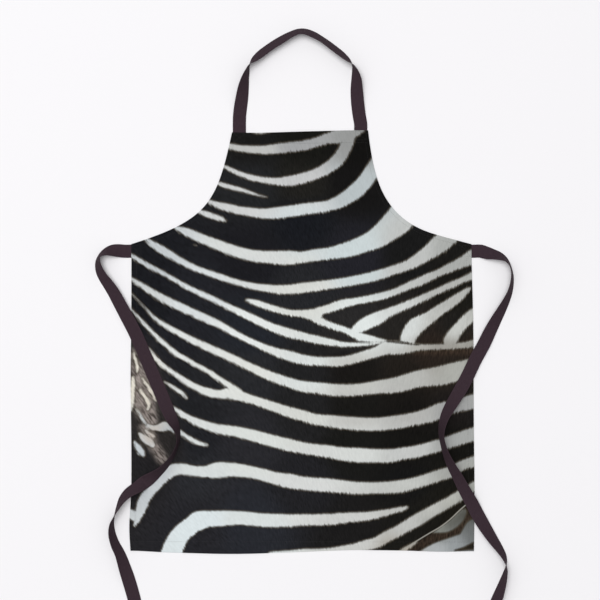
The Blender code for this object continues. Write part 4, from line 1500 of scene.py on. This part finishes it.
LEFT_POINTS: Knots = (
    (0.0000, 0.0000, 0.0, 0), (0.0130, 0.0000, 0.0, 2), (0.0245, 0.0011, 0.0, 12),
    (0.0365, 0.0012, 0.0, 30), (0.0480, -0.0014, 0.0, 54), (0.0555, -0.0055, 0.0, 68),
    (0.0602, -0.0105, 0.0, 74), (0.0622, -0.0190, 0.0, 64), (0.0612, -0.0300, 0.0, 53),
    (0.0570, -0.0420, 0.0, 44), (0.0530, -0.0490, 0.0, 40), (0.0435, -0.0625, 0.0, 31),
    (0.0330, -0.0785, 0.4, 22), (0.0220, -0.0985, 1.0, 14), (0.0080, -0.1250, 1.0, 7),
    (-0.0060, -0.1520, 1.0, 2), (-0.0190, -0.1810, 1.0, 0), (-0.0320, -0.2120, 1.0, 0),
    (-0.0460, -0.2450, 1.0, -2), (-0.0580, -0.2730, 1.0, -8), (-0.0690, -0.2990, 1.0, -17),
    (-0.0785, -0.3195, 1.0, -37), (-0.0860, -0.3340, 1.0, -60), (-0.0900, -0.3470, 1.0, -74),
    (-0.0893, -0.3630, 1.0, -81), (-0.0850, -0.3760, 1.0, -79), (-0.0760, -0.3930, 1.0, -72),
    (-0.0650, -0.4075, 1.0, -62), (-0.0507, -0.4205, 1.0, -48), (-0.0317, -0.4345, 1.0, -14),
    (-0.0127, -0.4470, 1.0, 30), (0.0063, -0.4592, 1.0, 46), (0.0160, -0.4700, 1.0, 56),
    (0.0235, -0.4840, 1.0, 70), (0.0310, -0.5010, 0.4, 87), (0.0360, -0.5190, 0.0, 105),
    (0.0355, -0.5350, 0.0, 116), (0.0300, -0.5540, 0.0, 124), (0.0205, -0.5740, 0.0, 133),
    (0.0120, -0.6000, 0.0, 150), (0.0050, -0.6230, 0.0, 167), (-0.0010, -0.6440, 0.0, 177),
    (-0.0065, -0.6650, 0.0, 180), (-0.0150, -0.7030, 0.0, 180), (-0.0190, -0.7480, 0.0, 180),
    (-0.0200, -0.7900, 0.0, 180),
)
RIGHT_POINTS: Knots = (
    (0.0000, 0.0000, 0.0, 0), (0.0130, 0.0000, 0.0, -2), (0.0250, -0.0034, 0.0, -16),
    (0.0370, -0.0062, 0.0, -37), (0.0485, -0.0095, 0.0, -50), (0.0588, -0.0150, 0.0, -66),
    (0.0660, -0.0235, 0.0, -76), (0.0703, -0.0350, 0.0, -78), (0.0720, -0.0480, 0.0, -73),
    (0.0710, -0.0620, 0.0, -68), (0.0680, -0.0760, 0.0, -62), (0.0615, -0.0925, 0.0, -53),
    (0.0530, -0.1095, 0.0, -43), (0.0415, -0.1310, 0.0, -29), (0.0300, -0.1535, 0.5, -14),
    (0.0190, -0.1765, 1.0, -2), (0.0035, -0.2050, 1.0, 0), (-0.0115, -0.2360, 1.0, 2),
    (-0.0240, -0.2595, 1.0, 12), (-0.0340, -0.2760, 1.0, 24), (-0.0470, -0.2970, 1.0, 38),
    (-0.0555, -0.3125, 1.0, 51), (-0.0610, -0.3300, 1.0, 62), (-0.0625, -0.3500, 1.0, 71),
    (-0.0585, -0.3690, 1.0, 70), (-0.0525, -0.3870, 1.0, 63), (-0.0440, -0.4055, 1.0, 52),
    (-0.0320, -0.4270, 1.0, 41), (-0.0205, -0.4490, 1.0, 30), (-0.0050, -0.4765, 1.0, 13),
    (0.0095, -0.5040, 1.0, -5), (0.0229, -0.5267, 1.0, -24), (0.0367, -0.5480, 0.7, -40),
    (0.0505, -0.5680, 0.0, -56), (0.0565, -0.5785, 0.0, -64), (0.0602, -0.5900, 0.0, -76),
    (0.0604, -0.6020, 0.0, -93), (0.0580, -0.6134, 0.0, -104), (0.0512, -0.6370, 0.0, -122),
    (0.0430, -0.6610, 0.0, -138), (0.0300, -0.7020, 0.0, -162), (0.0195, -0.7460, 0.0, -178),
    (0.0140, -0.8100, 0.0, -180),
)


@dataclass
class Studio:
    """The camera straight above, the pale floor, and soft light from all round with more from one side."""

    lens: float = 100.0
    sensor: float = 36.0
    centre: tuple[float, float] = (-0.00475, -0.0182)
    height: float = 3.167
    floor_half: float = 20.0
    floor_drop: float = 0.0004
    surround: float = 0.375
    sun_energy: float = 1.74
    sun_width: float = 40.0
    sun_tilt: float = 6.0
    lamp_power: float = 24.0
    lamp_size: float = 3.0
    lamp_place: tuple[float, float, float] = (-1.6, 1.2, 3.4)

    def camera(self) -> None:
        """Hang the camera over the apron, looking straight down."""
        data = bpy.data.cameras.new("overhead_camera")
        data.lens, data.sensor_width = self.lens, self.sensor
        camera = bpy.data.objects.new("overhead_camera", data)
        camera.location = (*self.centre, self.height)
        bpy.context.scene.collection.objects.link(camera)
        bpy.context.scene.camera = camera

    def floor(self) -> bpy.types.Object:
        """Lay the floor."""
        half, level = self.floor_half, -self.floor_drop
        corners = ((-half, -half), (half, -half), (half, half), (-half, half))
        points = np.array([(x, y, level) for x, y in corners])
        floor = new_piece("floor", points, [[0, 1, 2, 3]], PaleFloor().build())
        return floor

    def lights(self) -> None:
        """Light the room evenly, with a broad soft sun overhead and one wide lamp high on the left."""
        world = bpy.data.worlds.new("soft_room")
        bpy.context.scene.world = world
        world.use_nodes = True
        sky = world.node_tree.nodes["Background"]
        sky.inputs["Color"].default_value = (1.0, 0.995, 1.0, 1.0)
        sky.inputs["Strength"].default_value = self.surround
        data = bpy.data.lights.new("soft_sun", "SUN")
        data.energy, data.angle = self.sun_energy, math.radians(self.sun_width)
        sun = bpy.data.objects.new("soft_sun", data)
        tilt = math.radians(self.sun_tilt)
        shining = Vector((math.sin(tilt), -math.sin(tilt), -math.cos(tilt)))
        sun.rotation_euler = shining.to_track_quat("-Z", "Y").to_euler()
        bpy.context.scene.collection.objects.link(sun)
        data = bpy.data.lights.new("broad_lamp", "AREA")
        data.shape, data.size, data.energy = "DISK", self.lamp_size, self.lamp_power
        lamp = bpy.data.objects.new("broad_lamp", data)
        lamp.location = self.lamp_place
        lamp.rotation_euler = (Vector((0.0, 0.0, 0.0)) - lamp.location).to_track_quat("-Z", "Y").to_euler()
        bpy.context.scene.collection.objects.link(lamp)

    def build(self) -> None:
        """Set up the studio."""
        self.camera()
        self.floor()
        self.lights()
        bpy.context.scene.view_settings.view_transform = "Standard"


def main() -> None:
    """Build the studio, the tapes, the cloth, the hems and the stitching."""
    logging.basicConfig(level=logging.INFO, format="%(name)s: %(message)s")
    Studio().build()
    finishes = Finishes()
    cut = Cut.from_frame()
    design = ZebraPrint(bottom=cut.bottom)
    stitching = Stitching(cut)
    for side, points in ((Side.LEFT, LEFT_POINTS), (Side.RIGHT, RIGHT_POINTS)):
        WaistTie(cut, side, points).build(finishes, stitching)
    NeckLoop(cut).build(finishes)
    panel = Panel(cut, design)
    cloth = panel.build(finishes)
    hems = Hems(cut, design).build(finishes)
    stitching.build(finishes)
    cut.top - cut.bottom
    panel.flat_area()


if __name__ == "__main__":
    main()
